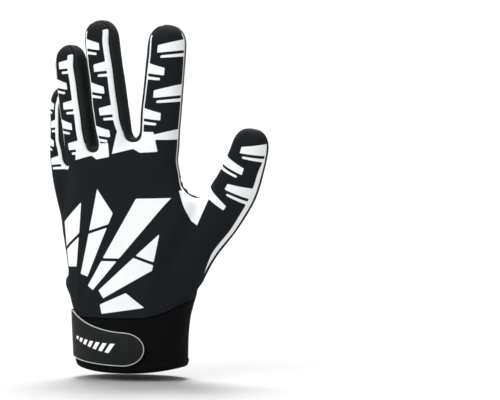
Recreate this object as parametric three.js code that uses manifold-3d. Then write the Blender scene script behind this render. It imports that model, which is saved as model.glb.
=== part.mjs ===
// A left-hand football receiver's glove, shown filled as if it were worn, fingers up.
// Millimetres, +Z up along the hand, back of the hand facing -Y, thumb towards +X.
// The origin is the middle of the wrist opening, on the plane of the cuff's hem.
//
// The glove is a thin hollow shell. One hand body, four fingers and a thumb are lofted
// twice, as the outer skin and as the hollow inside it, and the shell is then parted
// along its seams into a back panel, a palm panel, three fourchettes and a cuff.

import * as THREE from "three";
import { mergeVertices } from "three/addons/utils/BufferGeometryUtils.js";
import Module from "manifold-3d";

const wasm = await Module();
wasm.setup();

// Cloth
const PANEL_WALL = 1.8;
const CUFF_WALL = 2.6;
const SEAM_GAP = 0.4;
const FOURCHETTE_HALF = 7;

// Section counts
const HAND_SIDES = 32;
const HAND_SIDES_INSIDE = 22;
const DIGIT_SIDES = 16;
const DIGIT_SIDES_INSIDE = 12;
const ROUNDNESS = 2.25;
const WELD = 1e-2;

// Transverse arch: how far the little finger's side curls towards the palm
const ARCH_REACH = 39;
const ARCH_POWER = 3;
const ARCH_RUN_OUT = 2.4;
const ARCH_AT_KNUCKLES = 15;
const ARCH_AT_FINGERS = 4;
const FINGER_CURL = 6.5;

// Levels up the hand
const WRIST_Z = 45;
const KNUCKLE_Z = 140;
const CURL_START_Z = 150;
const TOP_Z = 235;

// The hand body: left and right edges, and how deep it is behind and in front of its seam
const HAND_SECTIONS = [
  { z: 0, left: -36.0, right: 38.0, back: 24.0, palm: 24.0 },
  { z: 3, left: -37.2, right: 39.2, back: 25.0, palm: 25.0 },
  { z: 20, left: -37.2, right: 39.8, back: 25.0, palm: 25.0 },
  { z: 38, left: -38.4, right: 41.0, back: 24.0, palm: 25.0 },
  { z: 50, left: -41.6, right: 44.0, back: 22.5, palm: 24.5 },
  { z: 57, left: -45.2, right: 45.0, back: 21.0, palm: 23.5 },
  { z: 65, left: -43.8, right: 46.8, back: 19.5, palm: 22.5 },
  { z: 76, left: -46.6, right: 50.0, back: 18.0, palm: 21.5 },
  { z: 88, left: -50.4, right: 53.0, back: 16.4, palm: 20.0 },
  { z: 100, left: -54.4, right: 56.6, back: 15.0, palm: 18.5 },
  { z: 112, left: -57.0, right: 56.0, back: 14.0, palm: 17.0 },
  { z: 117, left: -57.6, right: 45.5, back: 13.6, palm: 16.0 },
  { z: 123, left: -58.0, right: 36.5, back: 13.2, palm: 14.8 },
  { z: 132, left: -57.6, right: 33.5, back: 12.2, palm: 13.0 },
  { z: 141, left: -56.0, right: 31.5, back: 9.8, palm: 9.8 },
  { z: 147, left: -53.0, right: 26.0, back: 4.5, palm: 4.5 },
];
// How high the web between the fingers stands, from the little finger to the index
const WEB_LEVELS = [
  { x: -60, z: 131.0 },
  { x: -46.5, z: 141.0 },
  { x: -28, z: 148.3 },
  { x: 2, z: 157.0 },
  { x: 40, z: 159.0 },
];
const WEB_START_Z = 118;

// Fingers: where the axis crosses one level, its lean above and more of it towards the root (bend),
// the levels it runs from and to, its half sizes and its turn about Z
const FINGERS = [
  { name: "index", x: 20.9, lean: 0.062, bend: 0, from: 112, to: 232.2,
    width: 14.4, depth: 11.4, turn: 0 },
  { name: "middle", x: -11.8, lean: -0.16, bend: 0, from: 112, to: 235,
    width: 13.3, depth: 11.2, turn: -9 },
  { name: "ring", x: -37.4, lean: -0.16, bend: 0.04, from: 108, to: 217.9,
    width: 12.8, depth: 10.8, turn: -24 },
  { name: "little", x: -54.8, lean: 0, bend: 0.14, from: 90, to: 189.2,
    width: 11.0, depth: 9.6, turn: -46 },
];
const FINGER_X_LEVEL = 158;
const ROOT_BEND_Z = 142;
const FINGER_TAPER = 0.9;
const ROOT_FILL = 0.36;
const ROOT_LENGTH = 41;
const FOURCHETTE_DROP = 8;
const FOURCHETTE_REACH = 0.3;
const TIP_LENGTH = 14;

// Thumb: its axis from the wrist out to the tip, with half sizes
const THUMB_STATIONS = [
  { x: 24, y: 4, z: 46, width: 13, depth: 13 },
  { x: 32, y: 6, z: 66, width: 17, depth: 16 },
  { x: 43, y: 7.5, z: 86, width: 17.2, depth: 14.8 },
  { x: 60.4, y: 8.5, z: 106.4, width: 16.0, depth: 13.2 },
  { x: 70, y: 9, z: 121, width: 15.6, depth: 12 },
  { x: 77.7, y: 9.5, z: 139, width: 13.6, depth: 11 },
  { x: 81.2, y: 10, z: 152, width: 12.4, depth: 10.4 },
  { x: 82.6, y: 10, z: 164, width: 12, depth: 10 },
];
const THUMB_ROWS = 7;
const THUMB_TURN = 8;

// Cuff: its top edge runs level, then climbs to the thumb; it is slit on the little finger's side
const CUFF_EDGE = [
  { x: -120, z: 37.0 },
  { x: -10, z: 37.0 },
  { x: 18, z: 37.6 },
  { x: 30, z: 41.0 },
  { x: 40, z: 47.5 },
  { x: 46, z: 51.0 },
  { x: 140, z: 51.0 },
];
const HEM_HEIGHT = 6;
const HEM_RISE = 3.4;
const HEM_RISE_FADE_Z = 24;
const SLIT_TOP_Z = 62;
const SLIT_HALF_AT_HEM = 2.2;
const SLIT_HALF_AT_TOP = 1.0;

// Closure strap, measured along the cuff from its sewn end behind the slit
const STRAP_FROM_DEG = 158;
const STRAP_TO_DEG = 293;
const STRAP_GAP = 0.35;
const STRAP_THICK = 2.0;
const STRAP_LOW_Z = 5.2;
const STRAP_HIGH_Z = 28;
const STRAP_ROOT_LOW_Z = 9;
const STRAP_ROOT_HIGH_Z = 40.5;
const STRAP_LENGTH = 79;
const STRAP_NARROWS_FROM = 0.38;
const STRAP_NARROWS_TO = 0.86;
const STRAP_NARROWS_POWER = 1.6;
const STRAP_STEPS = 14;
const STRAP_END_SHARE = 0.16;
const STRAP_END_STEPS = 6;
const EDGING_WIDTH = 1.3;
const EDGING_PROUD = 0.4;

const clamp = (v, low, high) => Math.min(high, Math.max(low, v));
const ease = (t) => {
  const s = clamp(t, 0, 1);
  return s * s * (3 - 2 * s);
};
const mix = (a, b, t) => a + (b - a) * t;
const radians = THREE.MathUtils.degToRad;

// Signed power of a sine or cosine, which squares an ellipse a little.
const squared = (v) => Math.sign(v) * Math.abs(v) ** (2 / ROUNDNESS);

// X of a finger's axis at a level.
const axisX = (finger, z) =>
  finger.x + finger.lean * (z - FINGER_X_LEVEL) + finger.bend * Math.max(0, ROOT_BEND_Z - z);

// Y of the surface through the middle of the wall all round: the side seams lie on it.
function seamY(x, z) {
  const middleX = z > FINGER_X_LEVEL ? axisX(FINGERS[1], z) : FINGERS[1].x + (FINGER_X_LEVEL - z) * 0.1;
  const reach = (middleX - x) / ARCH_REACH;
  const rise = reach > 1 ? 1 + ARCH_RUN_OUT * (reach - 1) : Math.max(0, reach) ** ARCH_POWER;
  const arch =
    ARCH_AT_KNUCKLES * ease((z - WRIST_Z) / (KNUCKLE_Z - WRIST_Z)) +
    ARCH_AT_FINGERS * clamp((z - KNUCKLE_Z) / WRIST_Z, 0, 1);
  const curl = FINGER_CURL * Math.max(0, (z - CURL_START_Z) / (TOP_Z - CURL_START_Z)) ** 1.6;
  const thumbFrom = mix(18, 41, ease((z - 60) / 60));
  const thumb = mix(4, 10, clamp((z - WRIST_Z) / 110, 0, 1)) * ease((z - 25) / 35);
  return arch * rise + curl * (1 - ease((x - 38) / 8)) + thumb * ease((x - thumbFrom) / 14);
}

// A closed body through rings of points, with a fan at each end.
function loft(rings) {
  const sides = rings[0].length;
  const points = rings.flat();
  const faces = [];
  for (let row = 0; row + 1 < rings.length; row += 1) {
    for (let k = 0; k < sides; k += 1) {
      const a = row * sides + k;
      const b = row * sides + ((k + 1) % sides);
      faces.push(a, b, b + sides, a, b + sides, a + sides);
    }
  }
  for (const [row, first] of [[0, true], [rings.length - 1, false]]) {
    const middle = rings[row].reduce((sum, p) => sum.add(p), new THREE.Vector3()).divideScalar(sides);
    const hub = points.push(middle) - 1;
    for (let k = 0; k < sides; k += 1) {
      const a = row * sides + k;
      const b = row * sides + ((k + 1) % sides);
      faces.push(...(first ? [hub, b, a] : [hub, a, b]));
    }
  }
  return solidFrom(points, faces);
}

// A manifold-3d solid from points and triangles.
function solidFrom(points, faces) {
  const geometry = new THREE.BufferGeometry().setFromPoints(points).setIndex(faces);
  const merged = mergeVertices(geometry, 1e-4);
  return new wasm.Manifold(
    new wasm.Mesh({
      numProp: 3,
      vertProperties: merged.attributes.position.array,
      triVerts: new Uint32Array(merged.index.array),
    }),
  );
}

// The space over a grid of (x, z) between two heights in Y.
function slab(xs, zs, lowY, highY) {
  const across = xs(zs[0]).length;
  const points = [];
  for (const heights of [lowY, highY]) {
    for (const z of zs) {
      for (const x of xs(z)) points.push(new THREE.Vector3(x, heights(x, z), z));
    }
  }
  const layer = across * zs.length;
  const at = (i, j, top) => (top ? layer : 0) + j * across + i;
  const faces = [];
  const quad = (a, b, c, d) => faces.push(a, b, c, a, c, d);
  for (let j = 0; j + 1 < zs.length; j += 1) {
    for (let i = 0; i + 1 < across; i += 1) {
      quad(at(i, j, false), at(i + 1, j, false), at(i + 1, j + 1, false), at(i, j + 1, false));
      quad(at(i, j, true), at(i, j + 1, true), at(i + 1, j + 1, true), at(i + 1, j, true));
    }
    quad(at(0, j, false), at(0, j + 1, false), at(0, j + 1, true), at(0, j, true));
    const end = across - 1;
    quad(at(end, j, false), at(end, j, true), at(end, j + 1, true), at(end, j + 1, false));
  }
  for (let i = 0; i + 1 < across; i += 1) {
    const last = zs.length - 1;
    quad(at(i, 0, false), at(i, 0, true), at(i + 1, 0, true), at(i + 1, 0, false));
    quad(at(i, last, false), at(i + 1, last, false), at(i + 1, last, true), at(i, last, true));
  }
  return solidFrom(points, faces);
}

// A prism along Y from an outline in (x, z) that runs anticlockwise seen from the palm's side.
function prism(outline, lowY, highY) {
  const count = outline.length;
  const flat = outline.map(([x, z]) => new THREE.Vector2(x, z));
  const caps = THREE.ShapeUtils.triangulateShape(flat, []);
  const points = [lowY, highY].flatMap((y) => flat.map((p) => new THREE.Vector3(p.x, y, p.y)));
  const faces = [];
  for (const [a, b, c] of caps) faces.push(a, b, c, a + count, c + count, b + count);
  for (let k = 0; k < count; k += 1) {
    const next = (k + 1) % count;
    faces.push(k, k + count, next + count, k, next + count, next);
  }
  return solidFrom(points, faces);
}

const evenly = (low, high, steps) => Array.from({ length: steps + 1 }, (_, k) => mix(low, high, k / steps));

// A column of a table at a place along another of its columns.
function lookUp(table, key, place, column) {
  const above = clamp(table.findIndex((row) => row[key] > place), 1, table.length - 1);
  const [low, high] = place >= table.at(-1)[key] ? table.slice(-2) : [table[above - 1], table[above]];
  return mix(low[column], high[column], clamp((place - low[key]) / (high[key] - low[key]), 0, 1));
}

const TOP_RING_Z = HAND_SECTIONS.at(-1).z;
const webLevel = (x) => lookUp(WEB_LEVELS, "x", x, "z");

// The hem is cut a little higher at the sides of the wrist than in front and behind.
const hemRise = (z) => HEM_RISE * (1 - ease(z / HEM_RISE_FADE_Z));

// One horizontal section of the hand body, taken in by inset, with its middle on the seam.
function handRing(section, inset) {
  const sides = inset > 0 ? HAND_SIDES_INSIDE : HAND_SIDES;
  const middle = (section.left + section.right) / 2;
  const half = (section.right - section.left) / 2 - inset;
  const webShare = ease((section.z - WEB_START_Z) / (KNUCKLE_Z - WEB_START_Z));
  return Array.from({ length: sides }, (_, k) => {
    const angle = (2 * Math.PI * k) / sides;
    const x = middle + half * squared(Math.cos(angle));
    const around = squared(Math.sin(angle));
    const depth = Math.max(1, (around < 0 ? section.back : section.palm) - inset);
    const z = section.z + webShare * (webLevel(x) - TOP_RING_Z) + hemRise(section.z) * Math.cos(angle) ** 2;
    return new THREE.Vector3(x, seamY(x, section.z) + depth * around, z);
  });
}

function handBody(inset) {
  const rings = HAND_SECTIONS.map((section) => handRing(section, inset));
  if (inset > 0) {
    rings.forEach((ring) => ring.forEach((p) => p.setZ(p.z - inset * ease((p.z - WEB_START_Z) / 20))));
    rings.unshift(rings[0].map((p) => p.clone().setZ(-5)));
  }
  return loft(rings);
}

// How full a digit is at a distance from its tip: a round nose.
const nose = (distance, length) =>
  distance >= length ? 1 : Math.max(0.02, 1 - (1 - distance / length) ** ROUNDNESS) ** (1 / ROUNDNESS);

// A ring of a digit: centre, the directions across and through it, and its half sizes.
function digitRing(centre, across, through, width, depth, sides) {
  return Array.from({ length: sides }, (_, k) => {
    const angle = (2 * Math.PI * k) / sides;
    return centre
      .clone()
      .addScaledVector(across, width * squared(Math.cos(angle)))
      .addScaledVector(through, depth * squared(Math.sin(angle)));
  });
}

const TIP_FRACTIONS = [1, 0.68, 0.4, 0.17, 0.035];

function fingerBody(finger, inset) {
  const tipZ = finger.to - inset;
  const start = finger.from;
  const root = [0, 12, 26].map((step) => start + step);
  const shaft = evenly(start + 42, tipZ - TIP_LENGTH * 1.4, 2);
  const sides = inset > 0 ? DIGIT_SIDES_INSIDE : DIGIT_SIDES;
  const tip = TIP_FRACTIONS.map((part) => tipZ - TIP_LENGTH * part);
  const turn = radians(finger.turn);
  const [c, s] = [Math.cos(turn), Math.sin(turn)];
  const across = new THREE.Vector3(c, s, -finger.lean * c).normalize();
  const through = new THREE.Vector3(-s, c, 0);
  const rings = [...root, ...shaft, ...tip].map((z) => {
    const x = axisX(finger, z);
    const along = clamp((z - start) / (finger.to - start), 0, 1);
    const rooted = mix(ROOT_FILL, 1, ease((z - start) / ROOT_LENGTH));
    const fill = nose(tipZ - z, TIP_LENGTH) * rooted * mix(1.02, FINGER_TAPER, along);
    const width = Math.max(0.4, finger.width * fill - inset * (fill > 0.3 ? 1 : fill));
    const depth = Math.max(0.4, finger.depth * fill - inset * (fill > 0.3 ? 1 : fill));
    return digitRing(new THREE.Vector3(x, seamY(x, z), z), across, through, width, depth, sides);
  });
  return loft(rings);
}

const thumbAxis = new THREE.CatmullRomCurve3(
  THUMB_STATIONS.map(({ x, y, z }) => new THREE.Vector3(x, y, z)),
);

function thumbBody(inset) {
  const length = thumbAxis.getLength();
  const tipShares = TIP_FRACTIONS.map((part) => 1 - (inset + TIP_LENGTH * part) / length);
  const shares = [...evenly(0, tipShares[0], THUMB_ROWS).slice(0, -1), ...tipShares];
  const turn = radians(THUMB_TURN);
  const side = new THREE.Vector3(Math.cos(turn), Math.sin(turn), 0);
  const sides = inset > 0 ? DIGIT_SIDES_INSIDE : DIGIT_SIDES;
  const rings = shares.map((share) => {
    const centre = thumbAxis.getPointAt(share);
    const along = thumbAxis.getTangentAt(share);
    const across = side.clone().addScaledVector(along, -side.dot(along)).normalize();
    const through = along.clone().cross(across).normalize();
    const fill = nose((1 - share) * length - inset, TIP_LENGTH);
    const less = inset * (fill > 0.3 ? 1 : fill);
    const width = lookUp(THUMB_STATIONS, "z", centre.z, "width") * fill - less;
    const depth = lookUp(THUMB_STATIONS, "z", centre.z, "depth") * fill - less;
    return digitRing(centre, across, through, Math.max(0.4, width), Math.max(0.4, depth), sides);
  });
  return loft(rings);
}

const skin = (inset) =>
  [...FINGERS.map((finger) => fingerBody(finger, inset)), thumbBody(inset)].reduce(
    (whole, digit) => whole.add(digit),
    handBody(inset),
  );

// Everything above or below the cuff's top edge, on the back of the wrist, moved by a gap.
function beyondCuffEdge(above, gap) {
  const edge = CUFF_EDGE.map(({ x, z }) => [x, z + gap]);
  const far = above ? 300 : -60;
  const outline = [...edge, [140, far], [-120, far]];
  return prism(above ? outline : outline.reverse(), -90, 90);
}

// The slit that lets the hand in, a narrow wedge open at the hem.
function slitCutter() {
  const zs = [-10, SLIT_TOP_Z - 6, SLIT_TOP_Z];
  const half = (z) => mix(SLIT_HALF_AT_HEM, SLIT_HALF_AT_TOP, clamp(z / SLIT_TOP_Z, 0, 1));
  return slab(
    () => [-70, -50, -25],
    zs,
    (x, z) => seamY(x, z) - half(z),
    (x, z) => seamY(x, z) + half(z),
  );
}

// The space of the fourchette between two fingers, grown by a gap.
function fourchetteSpace(inner, outer, gap) {
  const baseZ = webLevel((inner.x + outer.x) / 2) - FOURCHETTE_DROP;
  const zs = [baseZ - gap, ...evenly(baseZ + 16, 250, 4)];
  const [outerReach, innerReach] = [outer, inner].map(({ width }) => FOURCHETTE_REACH * width - gap);
  const across = (z) => evenly(axisX(outer, z) + outerReach, axisX(inner, z) - innerReach, 2);
  return slab(
    across,
    zs,
    (x, z) => seamY(x, z) - FOURCHETTE_HALF - gap,
    (x, z) => seamY(x, z) + FOURCHETTE_HALF + gap,
  );
}

const outerSkin = skin(0);
const handShell = outerSkin.subtract(skin(PANEL_WALL)).subtract(slitCutter());

const sideXs = [-110, ...evenly(-72, 24, 12), ...evenly(38, 52, 2), 64, 100, 130];
const sideZs = [-20, 25, ...evenly(45, 235, 12), 260];
const backSide = slab(() => sideXs, sideZs, () => -90, (x, z) => seamY(x, z) - SEAM_GAP / 2);
const palmSide = slab(() => sideXs, sideZs, (x, z) => seamY(x, z) + SEAM_GAP / 2, () => 90);

const gaps = [0, 1, 2].map((k) => [FINGERS[k], FINGERS[k + 1]]);
const withoutFourchettes = gaps.reduce(
  (left, [inner, outer]) => left.subtract(fourchetteSpace(inner, outer, SEAM_GAP)),
  handShell,
);

// The largest body of a solid, with its points welded: a cut can leave crumbs and slivers.
function largest(solid) {
  const { vertProperties, triVerts } = solid.getMesh();
  const places = new Map();
  const points = [];
  const weld = (vertex) => {
    const at = [0, 1, 2].map((axis) => Math.round(vertProperties[3 * vertex + axis] / WELD));
    const key = at.join();
    if (!places.has(key)) places.set(key, points.push(new THREE.Vector3(...at).multiplyScalar(WELD)) - 1);
    return places.get(key);
  };
  // Two faces of a flattened sliver meet back to back, and both go.
  const faces = new Map();
  for (let k = 0; k < triVerts.length; k += 3) {
    const face = [weld(triVerts[k]), weld(triVerts[k + 1]), weld(triVerts[k + 2])];
    const key = [...face].sort((a, b) => a - b).join();
    if (new Set(face).size < 3) continue;
    if (!faces.delete(key)) faces.set(key, face);
  }
  const bodies = solidFrom(points, [...faces.values()].flat()).decompose();
  return bodies.reduce((best, piece) => (piece.volume() > best.volume() ? piece : best));
}

function meshOf(name, solid, material) {
  const made = solid.getMesh();
  const geometry = new THREE.BufferGeometry();
  geometry.setAttribute("position", new THREE.BufferAttribute(made.vertProperties, 3));
  geometry.setIndex(new THREE.BufferAttribute(made.triVerts, 1));
  geometry.computeVertexNormals();
  const mesh = new THREE.Mesh(geometry, material);
  mesh.name = name;
  return mesh;
}

const stretchKnit = new THREE.MeshStandardMaterial({ color: 0x202427, roughness: 0.85, metalness: 0 });
const gripPalm = new THREE.MeshStandardMaterial({ color: 0x0f1516, roughness: 0.4, metalness: 0 });
const neoprene = new THREE.MeshStandardMaterial({ color: 0x131514, roughness: 0.9, metalness: 0 });
const strapRubber = new THREE.MeshStandardMaterial({ color: 0x232625, roughness: 0.6, metalness: 0 });
const paleEdging = new THREE.MeshStandardMaterial({ color: 0xdfe3e2, roughness: 0.6, metalness: 0 });

// Everything above or below the top of the hem binding, moved by a gap.
function beyondHem(above, gap) {
  const rise = (x) => hemRise(HEM_HEIGHT) * ((x - 1) / 38) ** 2;
  const edge = evenly(-50, 52, 12).map((x) => [x, HEM_HEIGHT + rise(x) + gap]);
  const far = above ? 300 : -60;
  const outline = [[-120, edge[0][1]], ...edge, [140, edge.at(-1)[1]], [140, far], [-120, far]];
  return prism(above ? outline : outline.reverse(), -90, 90);
}

const glove = new THREE.Group();
const aboveHem = beyondHem(true, SEAM_GAP / 2);
const back = withoutFourchettes.intersect(backSide).intersect(beyondCuffEdge(true, SEAM_GAP / 2));
const palm = withoutFourchettes.intersect(palmSide).intersect(aboveHem);
glove.add(meshOf("back_panel", largest(back), stretchKnit));
glove.add(meshOf("palm_panel", largest(palm), gripPalm));
for (const [inner, outer] of gaps) {
  const strip = largest(handShell.intersect(fourchetteSpace(inner, outer, 0)));
  glove.add(meshOf(`fourchette_${inner.name}_${outer.name}`, strip, stretchKnit));
}

// Cuff band across the back of the wrist, and the hem binding all round under it
const cuffWall = handBody(0).subtract(handBody(CUFF_WALL)).subtract(slitCutter());
const cuffBack = cuffWall.intersect(backSide).intersect(aboveHem);
const cuff = cuffBack.intersect(beyondCuffEdge(false, -SEAM_GAP / 2));
glove.add(meshOf("cuff_band", largest(cuff), neoprene));
glove.add(meshOf("hem_binding", largest(cuffWall.intersect(beyondHem(false, -SEAM_GAP / 2))), neoprene));

// A point on the cuff's outside at an angle and level, stood off by a distance.
function onCuff(degrees, z, off) {
  const [left, right, behind, before] = ["left", "right", "back", "palm"].map((column) =>
    lookUp(HAND_SECTIONS, "z", z, column),
  );
  const at = (angle) => {
    const x = (left + right) / 2 + ((right - left) / 2) * squared(Math.cos(angle));
    const around = squared(Math.sin(angle));
    return new THREE.Vector3(x, seamY(x, z) + (around < 0 ? behind : before) * around, z);
  };
  const angle = radians(degrees);
  const along = at(angle + 0.02).sub(at(angle - 0.02)).normalize();
  return at(angle).add(new THREE.Vector3(along.y, -along.x, 0).multiplyScalar(off));
}

// The round end's share of the strap's length, taken in by a distance.
const endLength = (inset) => STRAP_END_SHARE - inset / STRAP_LENGTH;

// Shares of the strap's length at which it is built, closer together round its end.
function strapShares(inset) {
  const endFrom = 1 - STRAP_END_SHARE;
  const round = evenly(0, Math.PI / 2, STRAP_END_STEPS).slice(1);
  const end = round.map((angle) => endFrom + endLength(inset) * Math.sin(angle));
  return [...evenly(0, endFrom, STRAP_STEPS), ...end];
}

// The strap's lower and upper edge at a share of its length: wide at its sewn root, then
// narrower, and round at its end.
function strapEdges(share, inset) {
  const narrowed = (share - STRAP_NARROWS_FROM) / (STRAP_NARROWS_TO - STRAP_NARROWS_FROM);
  const root = (1 - clamp(narrowed, 0, 1)) ** STRAP_NARROWS_POWER;
  const low = mix(STRAP_LOW_Z, STRAP_ROOT_LOW_Z, root);
  const high = mix(STRAP_HIGH_Z, STRAP_ROOT_HIGH_Z, root);
  const t = clamp((share - 1 + STRAP_END_SHARE) / endLength(inset), 0, 1);
  const half = ((high - low) / 2 - inset) * Math.sqrt(Math.max(0.002, 1 - t * t));
  return [(low + high) / 2 - half, (low + high) / 2 + half];
}

const strapAngle = (share) => mix(STRAP_FROM_DEG, STRAP_TO_DEG, share);
const strapFace = STRAP_GAP + STRAP_THICK;

function strapBody() {
  const inset = EDGING_WIDTH + SEAM_GAP;
  const rings = strapShares(inset).map((share) => {
    const [low, high] = strapEdges(share, inset);
    const levels = [low, (low + high) / 2, high];
    return [
      ...levels.map((z) => onCuff(strapAngle(share), z, STRAP_GAP)),
      ...levels.reverse().map((z) => onCuff(strapAngle(share), z, strapFace)),
    ];
  });
  return loft(rings);
}

// The pale edging runs out along the strap's lower edge, round its end and back along the top.
function edgingBody() {
  const outline = (inset) => {
    const shares = strapShares(inset);
    const points = (side) => shares.map((share) => [strapAngle(share), strapEdges(share, inset)[side]]);
    return [...points(0), ...points(1).reverse()];
  };
  const [outside, inside] = [outline(0), outline(EDGING_WIDTH)];
  const top = strapFace + EDGING_PROUD;
  const rings = outside.map((place, k) => [
    onCuff(...place, STRAP_GAP),
    onCuff(...inside[k], STRAP_GAP),
    onCuff(...inside[k], top),
    onCuff(...place, top),
  ]);
  return loft(rings);
}

glove.add(meshOf("closure_strap", strapBody(), strapRubber));
glove.add(meshOf("strap_edging", edgingBody(), paleEdging));

export default glove;
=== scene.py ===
import math

import bpy
import numpy as np
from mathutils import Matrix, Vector


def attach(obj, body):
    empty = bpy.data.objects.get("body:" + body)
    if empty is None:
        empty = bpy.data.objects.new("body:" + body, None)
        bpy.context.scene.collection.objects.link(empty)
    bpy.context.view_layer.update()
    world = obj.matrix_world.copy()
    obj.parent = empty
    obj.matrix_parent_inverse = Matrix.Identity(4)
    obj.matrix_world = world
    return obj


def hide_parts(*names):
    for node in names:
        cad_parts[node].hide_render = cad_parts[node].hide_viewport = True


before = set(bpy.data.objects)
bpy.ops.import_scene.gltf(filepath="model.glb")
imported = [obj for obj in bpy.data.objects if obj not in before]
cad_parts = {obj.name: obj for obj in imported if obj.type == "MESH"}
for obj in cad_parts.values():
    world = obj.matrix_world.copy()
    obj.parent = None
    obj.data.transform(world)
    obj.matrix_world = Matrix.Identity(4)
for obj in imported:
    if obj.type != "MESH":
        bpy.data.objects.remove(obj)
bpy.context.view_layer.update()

# ---------------------------------------------------------------------------------------
# The view. The back of the hand is seen from a little towards the thumb's side and a
# little from above, through a long lens, so that the fingers stay almost parallel.
VIEW_ROUND_DEG, VIEW_UP_DEG = 18.0, 4.0
VIEW_DISTANCE, VIEW_WIDTH = 3.0, 0.335
VIEW_RIGHT, VIEW_HEIGHT = 0.08007, 0.11457

turn, lift = math.radians(VIEW_ROUND_DEG), math.radians(VIEW_UP_DEG)
away = Vector((math.sin(turn) * math.cos(lift), -math.cos(turn) * math.cos(lift), math.sin(lift)))
aim = Vector((math.cos(turn), math.sin(turn), 0)) * VIEW_RIGHT + Vector((0, 0, VIEW_HEIGHT))
lens = bpy.data.cameras.new("view")
lens.sensor_width = 36
lens.lens = 36 * VIEW_DISTANCE / VIEW_WIDTH
view = bpy.data.objects.new("view", lens)
view.location = aim + away * VIEW_DISTANCE
view.rotation_mode = "QUATERNION"
view.rotation_quaternion = (-away).to_track_quat("-Z", "Y")
bpy.context.scene.collection.objects.link(view)
bpy.context.scene.camera = view
bpy.context.scene.view_settings.view_transform = "Standard"

# ---------------------------------------------------------------------------------------
# The studio: a plain pale floor just under the hem, a white surround, and very soft lights
# from above, in front and behind, which leave a broad soft shadow underneath.
FLOOR_DROP, FLOOR_SIZE = 0.005, 60.0
SURROUND_ABOVE = 0.35
LIGHTS = [  # name, direction that it comes from, width in degrees, strength
    ("light_front", (-0.6, -1.0, 1.0), 50, 1.9),
    ("light_above", (-0.1, 0.2, 1.0), 40, 1.0),
    ("light_behind", (-0.19, 0.58, 1.0), 30, 5.5),
]


class Wire:
    """One output socket in a material's nodes. Arithmetic on it adds Math nodes."""

    def __init__(self, tree, socket=None):
        self.tree, self.socket = tree, socket

    def node(self, kind, settings=None, sockets=None, out=0):
        """Adds a node. Its settings are set first, then the values or links of its sockets."""
        made = self.tree.nodes.new(kind)
        for name, value in (settings or {}).items():
            setattr(made, name, value)
        for name, value in (sockets or {}).items():
            if isinstance(value, Wire):
                self.tree.links.new(value.socket, made.inputs[name])
            else:
                made.inputs[name].default_value = value
        return Wire(self.tree, made.outputs[out])

    def math(self, operation, *values, clamp=False):
        """One Math node on numbers or wires."""
        settings = {"operation": operation, "use_clamp": clamp}
        return self.node("ShaderNodeMath", settings, dict(enumerate(values)))

    def __add__(self, other):
        return self.math("ADD", self, other)

    def __sub__(self, other):
        return self.math("SUBTRACT", self, other)

    def __rsub__(self, other):
        return self.math("SUBTRACT", other, self)

    def __mul__(self, other):
        return self.math("MULTIPLY", self, other)

    def __truediv__(self, other):
        return self.math("DIVIDE", self, other)

    def __rtruediv__(self, other):
        return self.math("DIVIDE", other, self)

    __radd__, __rmul__ = __add__, __mul__

    def step(self, width):
        """0 below zero and 1 above it, with a soft edge of a width."""
        return self.math("MULTIPLY_ADD", self, 1 / width, 0.5, clamp=True)

    def colour(self, low, high):
        """A colour between two, with this as the share of the second."""
        settings = {"data_type": "RGBA", "clamp_factor": True}
        return self.node("ShaderNodeMix", settings, {0: self, 6: low, 7: high}, out=2)

    def place(self):
        """The point in the piece's own coordinates, in metres."""
        return self.node("ShaderNodeTexCoord", out=3)

    def noise(self, cells, detail=3.0):
        """Cloudy noise from 0 to 1, with so many cells to the metre."""
        sockets = {"Vector": self.place(), "Scale": cells, "Detail": detail, "Roughness": 0.5}
        return self.node("ShaderNodeTexNoise", {}, sockets)

    def attribute(self, name):
        """A number that the mesh keeps at its points."""
        return self.node("ShaderNodeAttribute", {"attribute_name": name}, out=2)

    def least(self, other):
        """The lesser of this and another."""
        return self.math("MINIMUM", self, other)

    def bumped(self, strength, distance=0.0001):
        """The normal of a surface with this as its height."""
        sockets = {"Strength": strength, "Distance": distance, "Height": self}
        return self.node("ShaderNodeBump", {}, sockets)


def new_material(name):
    """A material with one Principled shader: the material, a wire to build on, the shader."""
    made = bpy.data.materials.new(name)
    made.use_nodes = True
    return made, Wire(made.node_tree), made.node_tree.nodes["Principled BSDF"]


def feed(shader, sockets):
    """Sets or links a shader's sockets."""
    tree = shader.id_data
    for name, value in sockets.items():
        if isinstance(value, Wire):
            tree.links.new(value.socket, shader.inputs[name])
        else:
            shader.inputs[name].default_value = value


def tone(red, green, blue):
    """A screen colour, 0 to 255, as the linear colour that a shader takes."""
    screen = np.array([red, green, blue]) / 255
    linear = np.where(screen <= 0.04045, screen / 12.92, ((screen + 0.055) / 1.055) ** 2.4)
    return (*linear, 1.0)


surround = bpy.data.worlds.new("surround")
surround.use_nodes = True
wire = Wire(surround.node_tree)
level = wire.node("ShaderNodeSeparateXYZ", {}, {0: wire.node("ShaderNodeTexCoord")}, out=2)
overhead = (level - 0.55).step(0.25)
white, dimmer = (1, 1, 1, 1), (SURROUND_ABOVE, SURROUND_ABOVE, SURROUND_ABOVE, 1)
feed(surround.node_tree.nodes["Background"], {"Color": overhead.colour(white, dimmer), "Strength": 1.0})
bpy.context.scene.world = surround

for name, source, wide, strength in LIGHTS:
    light = bpy.data.lights.new(name, "SUN")
    light.angle, light.energy = math.radians(wide), strength
    lamp = bpy.data.objects.new(name, light)
    lamp.location = source
    lamp.rotation_mode = "QUATERNION"
    lamp.rotation_quaternion = (-lamp.location).to_track_quat("-Z", "Y")
    bpy.context.scene.collection.objects.link(lamp)

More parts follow.
